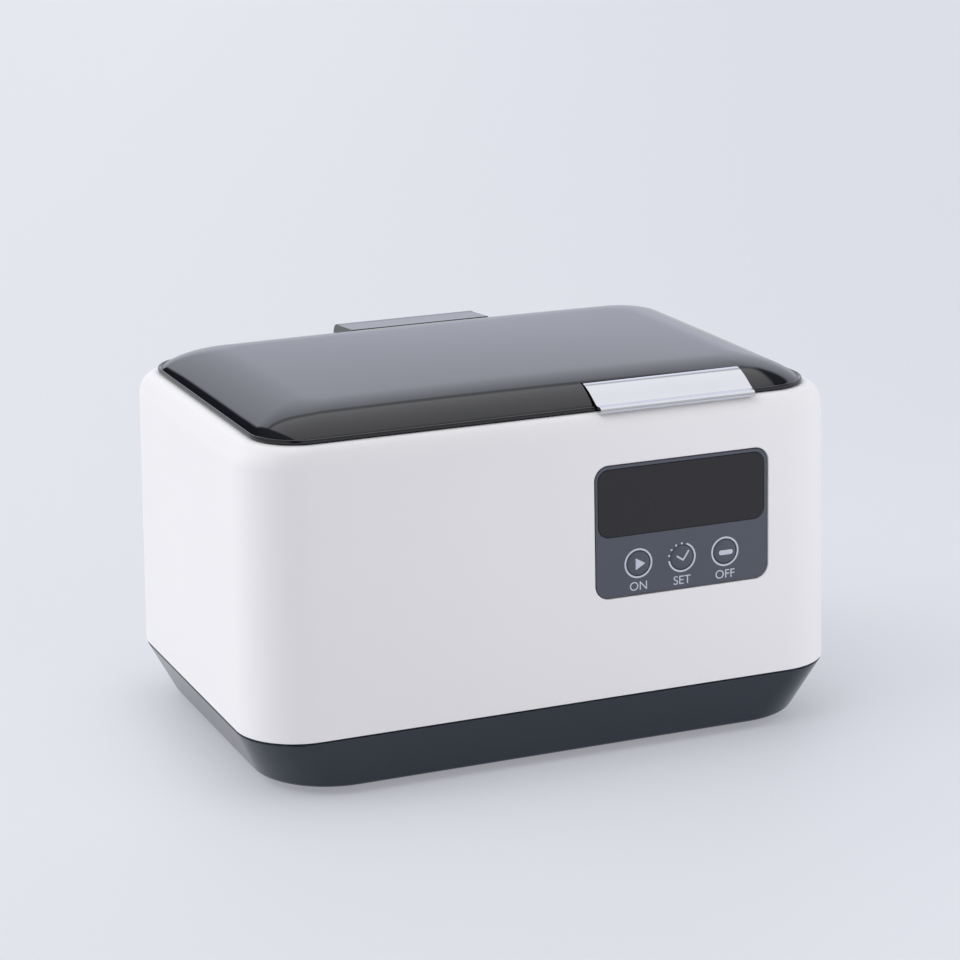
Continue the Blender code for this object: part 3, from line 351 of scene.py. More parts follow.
def node(tree, kind, inputs=None, **settings):
    """Adds a shader node with its settings and inputs."""
    made = tree.nodes.new("ShaderNode" + kind)
    for name, value in settings.items():
        setattr(made, name, value)
    feed(tree, made, inputs or {})
    return made


def new_material(name, **settings):
    """A Principled material with its constants on the shader's own sockets, and the object's coordinates."""
    material = bpy.data.materials.new(name)
    material.use_nodes = True
    tree = material.node_tree
    shader = tree.nodes["Principled BSDF"]
    feed(tree, shader, settings)
    place_of = node(tree, "TexCoord").outputs["Object"]
    return material, tree, shader, place_of


def per_mm(size):
    """The scale of a texture whose features are about this many millimetres across."""
    return 1 / (size * MM)


def surface(tree, shader, pattern, tones, roughness, height, depth):
    """A pattern wanders between two tones and two roughnesses, over a relief this many millimetres deep."""
    colour = {"Factor": pattern, "A": linear(tones[0]), "B": linear(tones[1])}
    gloss = {"Value": pattern, "To Min": roughness[0], "To Max": roughness[1]}
    feed(tree, shader, {
        "Base Color": node(tree, "Mix", colour, data_type="RGBA").outputs["Result"],
        "Roughness": node(tree, "MapRange", gloss).outputs["Result"],
        "Normal": node(tree, "Bump", {"Height": height, "Distance": depth * MM}).outputs["Normal"],
    })


def moulded(name, tone, shade, roughness, grain, depth, wander=0.04, **settings):
    """Moulded plastic: an even eroded texture from the tool, and flow that changes its gloss a little."""
    material, tree, shader, where = new_material(name, **settings)
    flow = node(tree, "TexNoise", {"Vector": where, "Scale": per_mm(60), "Detail": 2.0}).outputs["Fac"]
    eroded = node(tree, "TexNoise", {"Vector": where, "Scale": per_mm(grain), "Detail": 3.0}).outputs["Fac"]
    surface(tree, shader, flow, (tone, shade), (roughness - wander, roughness + wander), eroded, depth)
    return material


def white_abs():
    """Satin white ABS, spark-eroded tool: soft wide highlights. The 0.1 mm grain is drawn at 0.5 mm."""
    return moulded("satin_white_abs", "#F2F2F4", "#EFEFF2", 0.42, 0.5, 0.004, IOR=1.5)


def slate_abs():
    """Dark slate ABS, finer tool finish: it reflects the table, with a faint bloom at its edges."""
    finer = {"IOR": 1.52, "Sheen Weight": 0.05, "Sheen Roughness": 0.25, "wander": 0.02}
    return moulded("satin_slate_abs", "#1C2833", "#1A2631", 0.17, 0.4, 0.001, **finer)


def black_gloss():
    """Piano-black ABS from a polished tool: deep black that mirrors the room in slight waves."""
    material, tree, shader, where = new_material("piano_black_abs", IOR=1.6)
    waves = node(tree, "TexNoise", {"Vector": where, "Scale": per_mm(14), "Detail": 1.0}).outputs["Fac"]
    haze = node(tree, "TexNoise", {"Vector": where, "Scale": per_mm(45), "Detail": 3.0}).outputs["Fac"]
    surface(tree, shader, haze, ("#05070C", "#080A10"), (0.03, 0.07), waves, 0.006)
    return material


def chrome():
    """Bright chrome plating over ABS: a clean mirror with a faint polish haze."""
    material, tree, shader, where = new_material("chrome_plate", Metallic=1.0)
    haze = node(tree, "TexNoise", {"Vector": where, "Scale": per_mm(9), "Detail": 4.0}).outputs["Fac"]
    surface(tree, shader, haze, ("#D3D4D8", "#CFD1D6"), (0.04, 0.08), haze, 0.002)
    return material


def drawn_steel(name, tone, shade, roughness, stretch):
    """Metal with fine lines along the way it was drawn or turned."""
    material, tree, shader, where = new_material(name, Metallic=1.0)
    lines = node(tree, "Mapping", {"Vector": where, "Scale": stretch}).outputs["Vector"]
    grain = node(tree, "TexNoise", {"Vector": lines, "Scale": per_mm(0.6), "Detail": 4.0}).outputs["Fac"]
    surface(tree, shader, grain, (tone, shade), (roughness - 0.07, roughness + 0.08), grain, 0.003)
    return material


def stainless():
    """Brushed stainless sheet: long fine lines along the tank."""
    return drawn_steel("brushed_stainless", "#C9CACC", "#B4B6B9", 0.27, (0.03, 1.0, 1.0))


def zinc_steel():
    """Bright zinc-plated screw steel."""
    return drawn_steel("zinc_plated_steel", "#BFC2C6", "#A9ADB2", 0.32, (1.0, 1.0, 0.3))


def aluminium():
    """Machined aluminium: pale grey with fine turning lines."""
    return drawn_steel("machined_aluminium", "#D0D2D4", "#BCBEC1", 0.36, (1.0, 1.0, 0.1))


def brass():
    """Plain rolled brass, slightly dulled."""
    return drawn_steel("rolled_brass", "#D8B36A", "#C19B55", 0.30, (0.2, 1.0, 1.0))


def panel_film():
    """Screen-printed polycarbonate film over the panel: flat slate grey with a fine satin texture."""
    return moulded("printed_slate_film", "#4B505C", "#484D59", 0.46, 0.35, 0.004, IOR=1.58)


def smoked_window():
    """Smoked window, matt hard coat: near black, with a fine sparkle of grit, drawn at 0.35 mm."""
    material, tree, shader, where = new_material("smoked_window_film", IOR=1.49)
    grain = {"Vector": where, "Scale": per_mm(0.35), "Detail": 2.0, "Roughness": 0.7}
    grit = node(tree, "TexNoise", grain).outputs["Fac"]
    sparkle = node(tree, "MapRange", {"Value": grit, "To Min": -0.6, "To Max": 1.6}).outputs["Result"]
    tones = {"Factor": sparkle, "A": linear("#17171D"), "B": linear("#222228")}
    gloss = {"Value": grit, "To Min": 0.46, "To Max": 0.56}
    feed(tree, shader, {
        "Base Color": node(tree, "Mix", tones, data_type="RGBA").outputs["Result"],
        "Roughness": node(tree, "MapRange", gloss).outputs["Result"],
        "Normal": node(tree, "Bump", {"Height": grit, "Distance": 0.006 * MM}).outputs["Normal"],
    })
    return material


def screen_ink():
    """Pale screen ink: opaque, faintly blue, thin enough to follow the film."""
    return moulded("pale_screen_ink", "#CDD2DF", "#C6CBD9", 0.5, 0.3, 0.002)


def rubber():
    """Moulded black rubber: dull, with a dusty bloom."""
    return moulded("black_rubber", "#1E1E20", "#2A2A2C", 0.75, 0.6, 0.02)


def silicone():
    """Translucent grey silicone: milky, with light that sinks in a little way."""
    milky = {"Subsurface Weight": 0.2, "Subsurface Scale": 0.002}
    return moulded("grey_silicone", "#C4C6C8", "#B8BABD", 0.55, 0.8, 0.01, **milky)


def ceramic():
    """Fired piezo ceramic: pale tan, dense and matt, with fine pores."""
    return moulded("fired_ceramic", "#CFC2A4", "#C2B494", 0.5, 0.5, 0.01)


def board_laminate():
    """Green solder mask over glass laminate, with copper showing as lighter tracks round 5 mm cells."""
    material, tree, shader, where = new_material("green_solder_mask", IOR=1.5, Roughness=0.35)
    cells = {"Vector": where, "Scale": per_mm(5.0)}
    edge = node(tree, "TexVoronoi", cells, distance="CHEBYCHEV", feature="DISTANCE_TO_EDGE")
    track = node(tree, "Math", {0: edge.outputs["Distance"], 1: 0.12}, operation="LESS_THAN").outputs["Value"]
    tones = {"Factor": track, "A": linear("#135733"), "B": linear("#1E7242")}
    feed(tree, shader, {
        "Base Color": node(tree, "Mix", tones, data_type="RGBA").outputs["Result"],
        "Normal": node(tree, "Bump", {"Height": track, "Distance": 0.03 * MM}).outputs["Normal"],
    })
    return material


def black_plastic():
    """Glass-filled black nylon: satin, with a slightly mottled surface."""
    return moulded("black_nylon", "#19191B", "#222225", 0.48, 0.7, 0.01)


def capacitor_film():
    """Yellow tape round a wound film capacitor."""
    return moulded("yellow_capacitor_tape", "#DDAF35", "#CE9E28", 0.42, 3.0, 0.05)


def wire_sleeve():
    """Red PVC wire sleeve: smooth, a little waxy."""
    return moulded("red_pvc_sleeve", "#B02A24", "#9E211C", 0.4, 1.5, 0.01)


SLOTS = {
    "satin_white_abs": "white_abs",
    "satin_slate_abs": "slate_abs",
    "piano_black_abs": "black_gloss",
    "chrome_plate": "chrome",
    "brushed_stainless": "steel",
    "zinc_plated_steel": "steel",
    "machined_aluminium": "aluminium",
    "printed_slate_film": "panel_grey",
    "smoked_window_film": "smoked_window",
    "black_rubber": "rubber",
    "grey_silicone": "silicone",
    "fired_ceramic": "ceramic",
    "rolled_brass": "brass",
    "green_solder_mask": "board_green",
    "black_nylon": "black_plastic",
    "yellow_capacitor_tape": "yellow_film",
    "red_pvc_sleeve": "wire",
}


# ---------------------------------------------------------------- housing and base


def housing_sections():
    """Bottom edge, drafted wall, rounded shoulder, rim and lip, deck with the tank opening, inner wall."""
    body, rim = (BODY_X, BODY_Y, BODY_CORNER), (RIM_X, RIM_Y, RIM_CORNER)
    edge, lip, rounding, well = 0.35, 1.6, 0.3, 0.5
    sections = [
        inset_by(body, edge * (1 - sine), PARTING_Z + edge * (1 - cosine)) for sine, cosine in quarter(3)
    ]
    wall = [value - wall_inset(SHOULDER_Z) for value in body]
    for sine, cosine in quarter(14):
        shoulder = [low + (high - low) * (1 - cosine) for low, high in zip(wall, rim)]
        sections.append((*shoulder, SHOULDER_Z + (SEAM_Z - SHOULDER_Z) * sine))
    tank_hole = [value + 2.0 for value in (TANK_X, TANK_Y, TANK_CORNER)]
    sections += [
        inset_by(rim, lip - rounding, SEAM_Z),
        inset_by(rim, lip, SEAM_Z - rounding),
        inset_by(rim, lip, DECK_Z + well),
        inset_by(rim, lip + well, DECK_Z),
        (*tank_hole, DECK_Z),
        (*tank_hole, DECK_UNDER),
        inset_by(rim, WALL, DECK_UNDER),
        inset_by(body, wall_inset(DECK_UNDER) + WALL, SHOULDER_Z - WALL),
        inset_by(body, WALL, PARTING_Z),
    ]
    return sections


def panel_plane():
    """The panel's own plane: the drafted front wall at the middle of the panel."""
    matrix = Matrix.Rotation(math.atan2(-OUTWARD.y, OUTWARD.z), 4, "X")
    matrix.translation = Vector((PANEL_X, wall_inset(PANEL_Z) - BODY_Y, PANEL_Z)) * MM
    return matrix


def panel_cutters():
    """The recess with its softened mouth, and the opening behind it."""
    floor_z, mouth = -2.15, 0.35
    steps = ((0, floor_z), (0, -mouth), (0.3 * mouth, -0.3 * mouth), (mouth + 0.1, 0.1), (mouth + 0.1, 5))
    recess = rounded_shell("recess", [inset_by(PANEL, -GAP - grow, z) for grow, z in steps])
    opening = rounded_block("opening", (27.5, 18.5, 3), -6, 5)
    return [place(cutter, panel_plane()) for cutter in (recess, opening)]


def exhaust_cutters():
    """Seven slots with round ends, inside a circle the size of the fan."""
    circle, pitch = 18.5, 5.2
    cutters = []
    for row in range(-3, 4):
        reach = math.sqrt(circle ** 2 - (row * pitch) ** 2)
        slot = rounded_block("exhaust_slot", (reach, SLOT_HALF, SLOT_HALF - 0.02), 0, 20, corner=8)
        cutters.append(place(slot, facing((0, 1, 0), FAN_X, 58, FAN_Z + row * pitch)))
    return cutters


def inlet_plane():
    """The inlet's outer face, just inside the drafted back wall."""
    return facing((0, 1, 0), INLET_X, BODY_Y - wall_inset(INLET_Z + 10) - 0.5, INLET_Z)


def make_housing(materials):
    housing = rounded_shell("housing_moulding", housing_sections(), hollow=True)
    post_foot = 9.3
    for place_of in POST_PLACES:
        post = place(rod("post", 4.0, post_foot, DECK_UNDER + 1), shift(*place_of))
        pilot = place(rod("pilot", 1.75, post_foot - 1, post_foot + 14), shift(*place_of))
        cut(fuse(housing, post), pilot)
    notch = BARREL_HALF + 1.8
    cut(housing, box("notch", (-notch, 58.6, 111.0), (notch, 75, 120)))
    cut(housing, *panel_cutters(), *exhaust_cutters())
    recess = rounded_block("inlet_recess", [value + GAP for value in INLET_FLANGE], -1.8, 6, corner=8)
    opening = rounded_block("inlet_opening", [value + GAP for value in INLET_BODY], -8, 6, corner=8)
    cut(housing, place(recess, inlet_plane()), place(opening, inlet_plane()))
    smooth(housing, 28)
    finish(housing, materials["white_abs"], "base", "housing")


def tray_sections():
    """Flat bottom, rolled lower edge, sloping side, parting step, tongue inside the housing, hollow floor."""
    bottom, bottom_z = (93.84, 66.0, 24.7), 3.0
    roll, roll_z, turn = (1.8, 1.38, 1.3), 1.12, math.radians(64)
    sections = []
    for step in range(7):
        out = math.sin(turn * step / 6) / math.sin(turn)
        up = (1 - math.cos(turn * step / 6)) / (1 - math.cos(turn))
        sections.append((*(value + grow * out for value, grow in zip(bottom, roll)), bottom_z + roll_z * up))
    top, tongue_top = PARTING_Z - 0.45, PARTING_Z + 3.3
    inside = (BODY_X - WALL - 0.4, BODY_Y - WALL - 0.4, BODY_CORNER - WALL)
    sections += [
        (BODY_X - 0.3, BODY_Y - 0.25, BODY_CORNER, top - 0.4),
        (BODY_X - 0.35, BODY_Y - 0.3, BODY_CORNER, top - 0.15),
        (BODY_X - 0.6, BODY_Y - 0.55, BODY_CORNER - 0.3, top),
        (*inside, top),
        (*inside, tongue_top),
        inset_by(inside, 1.6, tongue_top),
        (93.2, 64.4, 23.0, 5.6),
    ]
    return sections


def make_base_tray(materials):
    tray = rounded_shell("base_tray_moulding", tray_sections())
    for place_of in POST_PLACES:
        fuse(tray, place(rod("screw_boss", 5.0, 4.5, 9.0), shift(*place_of)))
        for name, radius, high_z in (("screw_hole", 1.8, 12), ("screw_head_hole", 3.3, 6.4)):
            cut(tray, place(rod(name, radius, 0, high_z), shift(*place_of)))
    for x in (-84, -32):
        for y in (-32, 32):
            fuse(tray, place(rod("board_post", 2.6, 5.0, 11.7), shift(x, y)))
    for side, left_right in SIDES.items():
        for front_rear in ENDS.values():
            seat = rod("foot_seat", 6.3, 0, 4.1, 48)
            cut(tray, place(seat, middle_of(f"foot_{left_right}_{front_rear}")))
        for row in range(-3, 4):
            slot = rounded_block("intake_slot", (13, SLOT_HALF, SLOT_HALF - 0.02), 1, 9, corner=8)
            cut(tray, place(slot, shift(side * 58, row * 6)))
    smooth(tray, 28)
    finish(tray, materials["slate_abs"], "base", "base_tray")


def make_feet_and_screws(materials):
    sole = [(4.4, 0), (4.8, 0.12), (5.2, 0.5), (5.6, 1.4)]
    foot = turned("foot", sole + [(5.88, 2.4), (5.9, 3.6), (5.7, 3.8)])
    head = [(1.7, 4.0), (2.3, 4.06), (2.75, 4.3), (2.9, 4.6), (2.9, 6.1)]
    screw = turned("screw", head + [(1.4, 6.1), (1.4, 19.5), (0.7, 21.0)], 32)
    reach, half = 1.7, 0.35
    for x, y in ((reach, half), (half, reach)):
        cut(screw, box("cross", (-x, -y, 3), (x, y, 5)))
    patterns = (
        (smooth(foot), "rubber_foot", "rubber", "foot"),
        (smooth(screw), "tray_screw", "zinc_steel", "base_screw"),
    )
    for where in (f"{left_right}_{front_rear}" for left_right in SIDES.values() for front_rear in ENDS.values()):
        for pattern, name, material, cad in patterns:
            made = copy_to(pattern, f"{name}_{where}", middle_of(f"{cad}_{where}"))
            finish(made, materials[material], "base", f"{cad}_{where}")
    bpy.data.objects.remove(foot)
    bpy.data.objects.remove(screw)


# ---------------------------------------------------------------- tank and lid


def make_tank(materials):
    """A drawn tank: wide flange, rounded lip, tapered wall and a rounded bottom, from one sheet."""
    wall, depth, taper, fillet, flange = 0.9, 52.0, 2.5, 7.0, 7.0
    floor_z = TANK_TOP - depth

    def section(inset, z, grow):
        return TANK_X - inset + grow, TANK_Y - inset + grow, TANK_CORNER + grow - 0.4 * inset, z

    def skin(grow, drop):
        sections = []
        for sine, cosine in reversed(quarter(9)):
            inset = taper + fillet * (1 - cosine)
            sections.append(section(inset, floor_z - drop + fillet * (1 - sine), grow))
        for sine, cosine in reversed(quarter(4)):
            sections.append(section(sine - 1, TANK_TOP - drop - 1 + cosine, grow))
        return sections

    sections = skin(0, 0)
    sections += [section(0.15 - flange, TANK_TOP, 0), section(-flange, TANK_TOP - 0.2, 0)]
    sections += [section(-flange, TANK_TOP - wall, 0)]
    sections += reversed(skin(wall, wall))
    tank = rounded_shell("tank_pressing", sections)
    smooth(tank)
    finish(tank, materials["stainless"], "base", "tank")


def dome_section(inset, drop=0.0, thinner=0.0):
    """A ring of the domed lid: a quarter superellipse from its foot to the flat middle."""
    share = min(inset / DOME_RUN, 1.0)
    rise = DOME_RISE * (1 - (1 - share) ** DOME_EASE) ** (1 / DOME_BULGE)
    radius = max(LID_CORNER - DOME_INSET - 0.35 * inset - 0.5 * thinner, 5)
    inward = DOME_INSET + thinner + inset
    return LID_X - inward, LID_Y - inward, radius, DOME_FOOT_Z + rise - drop


def lid_sections():
    """Inner skin from its middle down to the seam, then the rim with its groove, then the dome."""
    wall = 2.4
    sections = [dome_section(inset, wall, 0.8 * wall) for inset in (30, 22, 13.5, 9, 5.5, 2.6)]
    for inset, radius, z in (
        (wall, LID_CORNER - wall, LID_BOTTOM_Z),
        (0.4, LID_CORNER, LID_BOTTOM_Z),
        (0.12, LID_CORNER, LID_BOTTOM_Z + 0.12),
        (0, LID_CORNER, LID_BOTTOM_Z + 0.4),
        (0.02, LID_CORNER, LID_RIM_Z - 0.4),
        (0.12, LID_CORNER, LID_RIM_Z - 0.15),
        (0.3, LID_CORNER - 0.2, LID_RIM_Z - 0.03),
        (0.5, LID_CORNER - 0.4, LID_RIM_Z),
        (0.8, LID_CORNER - 0.7, LID_RIM_Z - 0.12),
        (1.15, LID_CORNER - 1.0, LID_RIM_Z - 0.42),
        (DOME_INSET + 0.2, LID_CORNER - DOME_INSET - 0.2, LID_RIM_Z - 0.5),
    ):
        sections.append((LID_X - inset, LID_Y - inset, radius, z))
    edge = (0.3, 0.45, 0.7, 1.0, 1.4, 1.9, 2.5, 3.2, 4.1, 5.1, 6.3, 7.7, 9.3, 11.2, 13.3)
    return sections + [dome_section(inset) for inset in (*edge, 15.6, 18, 20.2, 22.3, 27)]


def add_crown(lid):
    """Cuts the flat middle into a grid, then lifts it in a shallow crown that fades to nothing at the rim."""
    pick(lid)
    bpy.ops.object.mode_set(mode="EDIT")
    planes = [((x, 0, 0), (1, 0, 0)) for x in range(-60, 61, 6)]
    planes += [((0, y, 0), (0, 1, 0)) for y in range(-30, 31, 6)]
    for point, normal in planes:
        bpy.ops.mesh.select_all(action="SELECT")
        bpy.ops.mesh.bisect(plane_co=Vector(point) * MM, plane_no=normal, threshold=1e-6)
    mesh = bmesh.from_edit_mesh(lid.data)
    for vert in mesh.verts:
        x, y, z = vert.co / MM
        if z > DOME_FOOT_Z and abs(x) < LID_X - DOME_INSET and abs(y) < LID_Y - DOME_INSET:
            vert.co.z += DOME_CROWN * (1 - (x / LID_X) ** 2) * (1 - (y / LID_Y) ** 2) * MM
    bpy.ops.object.mode_set(mode="OBJECT")


def make_lid(materials):
    lid = rounded_shell("lid_moulding", lid_sections())
    add_crown(lid)
    low, high = millimetres("lid_handle")
    cut(lid, box("pull_notch", (low.x - GAP, -80, 110), (high.x + GAP, high.y + GAP, 130)))
    half = BARREL_HALF + GAP
    cut(lid, box("cover_notch", (-half, 50.22, 110), (half, 80, 130)))
    smooth(lid, 30, weighted=False)
    finish(lid, materials["black_gloss"], "lid", "lid_shell")


def make_lid_liner(materials):
    """The inner panel with its drip rib, rounded at every edge."""
    half_x, half_y, corner, rib_x, rib_y, wall = 85.8, 54.5, 10, 73.5, 43.5, 1.6
    low, high = millimetres("lid_liner")
    panel_z = high.z - 1.4
    liner = rounded_shell("lid_liner_moulding", [
        (half_x, half_y, corner, high.z),
        (half_x, half_y, corner, panel_z),
        (rib_x, rib_y, corner, panel_z),
        (rib_x, rib_y, corner, low.z),
        (rib_x - wall, rib_y - wall, corner - wall, low.z),
        (rib_x - wall, rib_y - wall, corner - wall, panel_z),
    ])
    soften(liner, 0.35)
    for name in SIDES.values():
        cut(liner, place(rod("liner_hole", 1.4, 110, 120), middle_of(f"hinge_cover_screw_{name}")))
    smooth(liner)
    finish(liner, materials["slate_abs"], "lid", "lid_liner")


PULL_CORNER = 1.5  # radius of the plate's upper corners
LIP_SHORTER = 0.7  # the lip stops this far before the plate's right end


def make_pull(materials):
    """The pull: a plate that follows the dome, flattens above the rim and ends in a rolled lip."""
    outline = [
        (-53.0, 7.35), (-55.3, 6.75), (-57.6, 5.9), (-59.7, 4.9), (-61.6, 3.8), (-63.3, 2.75), (-64.6, 2.1),
        (-65.5, 1.9), (-66.3, 2.1), (-67.2, 2.05), (-67.95, 1.55), (-68.25, 0.8), (-68.0, 0.1), (-67.2, -0.2),
        (-66.2, -0.1), (-65.4, 0.5), (-62.9, 1.1), (-60.2, 2.5), (-56.4, 4.5), (-53.0, 5.5),
    ]
    low, high = millimetres("lid_handle")
    points = [(y, z + SEAM_Z) for y, z in outline]
    pull = run_of_section("chrome_pull", points, low.x, high.x, rounds=2)
    half, reach = (high.x - low.x) / 2, 12.0
    edge = rounded_block("pull_edge", (half, reach, PULL_CORNER), low.z - 5, high.z + 5)
    middle = Vector(((low.x + high.x) / 2, high.y - reach, 0))
    combine(pull, "INTERSECT", [place(edge, Matrix.Translation(middle * MM))])
    beyond = (high.x + 1, low.y + 3.7, high.z + 1)
    cut(pull, box("lip_end", (high.x - LIP_SHORTER, low.y - 1, low.z - 1), beyond))
    soften(pull, 0.3, 4, 60)
    smooth(pull)
    finish(pull, materials["chrome"], "lid", "lid_handle")


# ---------------------------------------------------------------- hinge


def arc(radius, first, last, steps):
    """Points round the hinge axis, with each angle turned up from the back."""
    angles = [math.radians(first + (last - first) * step / steps) for step in range(steps + 1)]
    return [(HINGE_Y + radius * math.cos(a), HINGE_Z + radius * math.sin(a)) for a in angles]


def make_hinge(materials):
    """The cover turns with the lid: an open sleeve round the knuckle, with a wing on to the dome."""
    barrel, bore, pin_hole = 4.4, 3.2, 1.35
    outline = [(50.3, 117.9), (50.3, 122.5), (49.8, 122.75), (50.0, 122.97), (54.5, 122.65), (62.0, 122.05)]
    outline += arc(barrel, 97, 35, 14) + arc(bore, 35, 225, 32) + arc(barrel, 225, 176, 10)
    cover = run_of_section("hinge_cover_moulding", outline, -BARREL_HALF, BARREL_HALF)
    for side in SIDES:
        end = rod("barrel_end", barrel - 0.02, BARREL_HALF - 3.5, BARREL_HALF - 0.02, 64)
        fuse(cover, place(end, facing((side, 0, 0), 0, HINGE_Y, HINGE_Z)))
    pin_bore = rod("pin_bore", pin_hole, 1 - BARREL_HALF, BARREL_HALF - 1)
    cut(cover, place(pin_bore, facing((1, 0, 0), 0, HINGE_Y, HINGE_Z)))
    soften(cover, 0.45, 4, 60)
    smooth(cover)
    finish(cover, materials["black_gloss"], "lid", "hinge_cover")

    low, high = millimetres("hinge_block")
    stem, knuckle = 0.8, 2.75
    outline = [(HINGE_Y - stem, 112.0), (HINGE_Y + stem, 112.0)] + arc(knuckle, -73, 253, 40)
    block = run_of_section("hinge_block_moulding", outline, -20, 20)
    foot = box("block_foot", (low.x, low.y, low.z), (high.x, 66.2, low.z + 1.6))
    fuse(block, foot)
    cut(block, place(rod("knuckle_bore", pin_hole, -21, 21), facing((1, 0, 0), 0, HINGE_Y, HINGE_Z)))
    soften(block, 0.2, 2, 60)
    smooth(block)
    finish(block, materials["slate_abs"], "base", "hinge_block")


# ---------------------------------------------------------------- control panel


def key_place(step):
    return KEY_ROW[0] + step * KEY_PITCH, KEY_ROW[1]


def make_panel(materials):
    edge, window_gap = 0.3, 0.12
    sections = [(*PANEL, -1.85)]
    for sine, cosine in quarter(3):
        sections.append(inset_by(PANEL, edge * (1 - cosine), PANEL_FACE - edge * (1 - sine)))
    fascia = rounded_shell("control_panel_plate", sections)
    steps = ((0, PANEL_FACE - 0.9), (0, PANEL_FACE - 0.15), (0.2, PANEL_FACE + 0.05), (0.2, 3))
    pocket = rounded_shell("pocket", [inset_by(WINDOW, -window_gap - grow, z) for grow, z in steps])
    sight = rounded_block("sight", (16.5, 8, 1), -4, 3, corner=6)
    cut(fascia, place(pocket, shift(*WINDOW_PLACE)), place(sight, shift(*WINDOW_PLACE)))
    for step in KEY_STEPS.values():
        cut(fascia, place(rod("key_hole", KEY_HOLE, -4, 2, 64), shift(*key_place(step))))
    smooth(place(fascia, panel_plane()))
    finish(fascia, materials["panel_film"], "base", "fascia")

    face = PANEL_FACE - 0.06
    steps = ((0, face - 0.54), (0, face - 0.1), (0.1, face))
    lens = rounded_shell("display_lens", [inset_by(WINDOW, inset, z) for inset, z in steps])
    smooth(place(lens, panel_plane() @ shift(*WINDOW_PLACE)))
    finish(lens, materials["smoked_window"], "base", "display_window")


def make_keys(materials):
    """Round caps with a low dome, proud of the panel, and their printed symbols."""
    stem = [(1.5, -4.3), (1.5, -2.75), (4.9, -2.75), (4.9, -2.15), (4.05, -2.15), (4.05, -0.4), (4.02, -0.28)]
    dome = [(3.92, -0.17), (3.75, -0.09), (3.4, 0.0), (2.8, 0.1), (2.0, 0.2), (1.2, 0.27), (0.4, 0.3)]
    for name, step in KEY_STEPS.items():
        x, y = key_place(step)
        cap = turned(f"key_cap_{name}", stem + dome, 64)
        smooth(cap, 40, weighted=False)
        icon = join_flat(f"key_icon_{name}", KEY_ICONS[name]())
        lay_on(icon, cap)
        for obj, material, nodes in ((cap, "panel_film", [f"key_{name}"]), (icon, "screen_ink", [])):
            place(obj, panel_plane() @ shift(x, y))
            finish(obj, materials[material], f"{name}_key", *nodes)
        ring = print_on_panel(f"key_ring_{name}", KEY_RINGS[name](), (x, y))
        legend = print_on_panel(f"key_legend_{name}", [lettering(name.upper())], (x, LEGEND_Y))
        for obj in (ring, legend):
            finish(obj, materials["screen_ink"], "base")


INK = 0.03  # thickness of the printing
LEGEND_Y, LEGEND_HEIGHT = -20.4, 3.0
CAPITAL_SHARE = 0.729  # height of a capital in Blender's own font, for a letter size of 1
RING_OUTER, RING_INNER = 4.97, 4.38


def flat_plate(name, verts, radius, at=(0, 0)):
    """A flat many-sided patch of ink."""
    settings = {"vertices": verts, "radius": radius * MM, "fill_type": "NGON"}
    start(name, bpy.ops.mesh.primitive_circle_add, location=(at[0] * MM, at[1] * MM, 0), **settings)
    bpy.ops.object.mode_set(mode="OBJECT")
    return bpy.context.object


def ring_print(first=0, last=360):
    """An inked ring, or the arc of it between two angles."""
    ring = flat_plate("ring", 120, RING_OUTER)
    pick(ring)
    bpy.ops.object.mode_set(mode="EDIT")
    bpy.ops.mesh.select_all(action="SELECT")
    bpy.ops.mesh.inset(thickness=(RING_OUTER - RING_INNER) * MM)
    bpy.ops.mesh.delete(type="FACE")
    bpy.ops.mesh.select_mode(type="FACE")
    for face in bmesh.from_edit_mesh(ring.data).faces:
        middle = face.calc_center_median()
        angle = math.degrees(math.atan2(middle.y, middle.x)) % 360
        face.select_set(not (first <= angle <= last or first <= angle + 360 <= last))
    bpy.ops.mesh.delete(type="FACE")
    bpy.ops.object.mode_set(mode="OBJECT")
    return ring


def bar_print(first, last, width, rounding):
    """An inked bar between two points, with its ends rounded."""
    (x0, y0), (x1, y1) = first, last
    length = math.hypot(x1 - x0, y1 - y0)
    bar = start("bar", bpy.ops.mesh.primitive_plane_add, size=2 * MM)
    bpy.ops.mesh.select_all(action="SELECT")
    bpy.ops.transform.resize(value=(length / 2, width / 2, 1), center_override=(0, 0, 0))
    bpy.ops.mesh.bevel(offset=rounding * MM, segments=6, affect="VERTICES")
    bpy.ops.object.mode_set(mode="OBJECT")
    turn = Matrix.Rotation(math.atan2(y1 - y0, x1 - x0), 4, "Z")
    return place(bar, shift((x0 + x1) / 2, (y0 + y1) / 2) @ turn)


def start_icon():
    """A triangle that points right, with its tips just rounded."""
    triangle = flat_plate("triangle", 3, 2.3)
    pick(triangle)
    bpy.ops.object.mode_set(mode="EDIT")
    bpy.ops.mesh.select_all(action="SELECT")
    bpy.ops.transform.rotate(value=math.radians(90), orient_axis="Z", center_override=(0, 0, 0))
    bpy.ops.mesh.bevel(offset=0.25 * MM, segments=4, affect="VERTICES")
    bpy.ops.transform.translate(value=(-0.05 * MM, -0.1 * MM, 0))
    bpy.ops.object.mode_set(mode="OBJECT")
    return [triangle]


def clock_icon():
    """The two hands of a timer."""
    return [bar_print((0.35, -0.9), (-2.1, 0.75), 0.55, 0.2), bar_print((0.0, -1.0), (2.35, 2.2), 0.55, 0.2)]


def stop_icon():
    return [bar_print((-2.35, -0.2), (2.65, -0.2), 1.6, 0.7)]


def clock_ring():
    """Three quarters of a ring, closed by a run of dots."""
    middle = (RING_OUTER + RING_INNER) / 2
    parts = [ring_print(188, 428)]
    for degrees in (90, 116, 142, 168):
        angle = math.radians(degrees)
        parts.append(flat_plate("dot", 20, 0.36, (middle * math.cos(angle), middle * math.sin(angle))))
    return parts


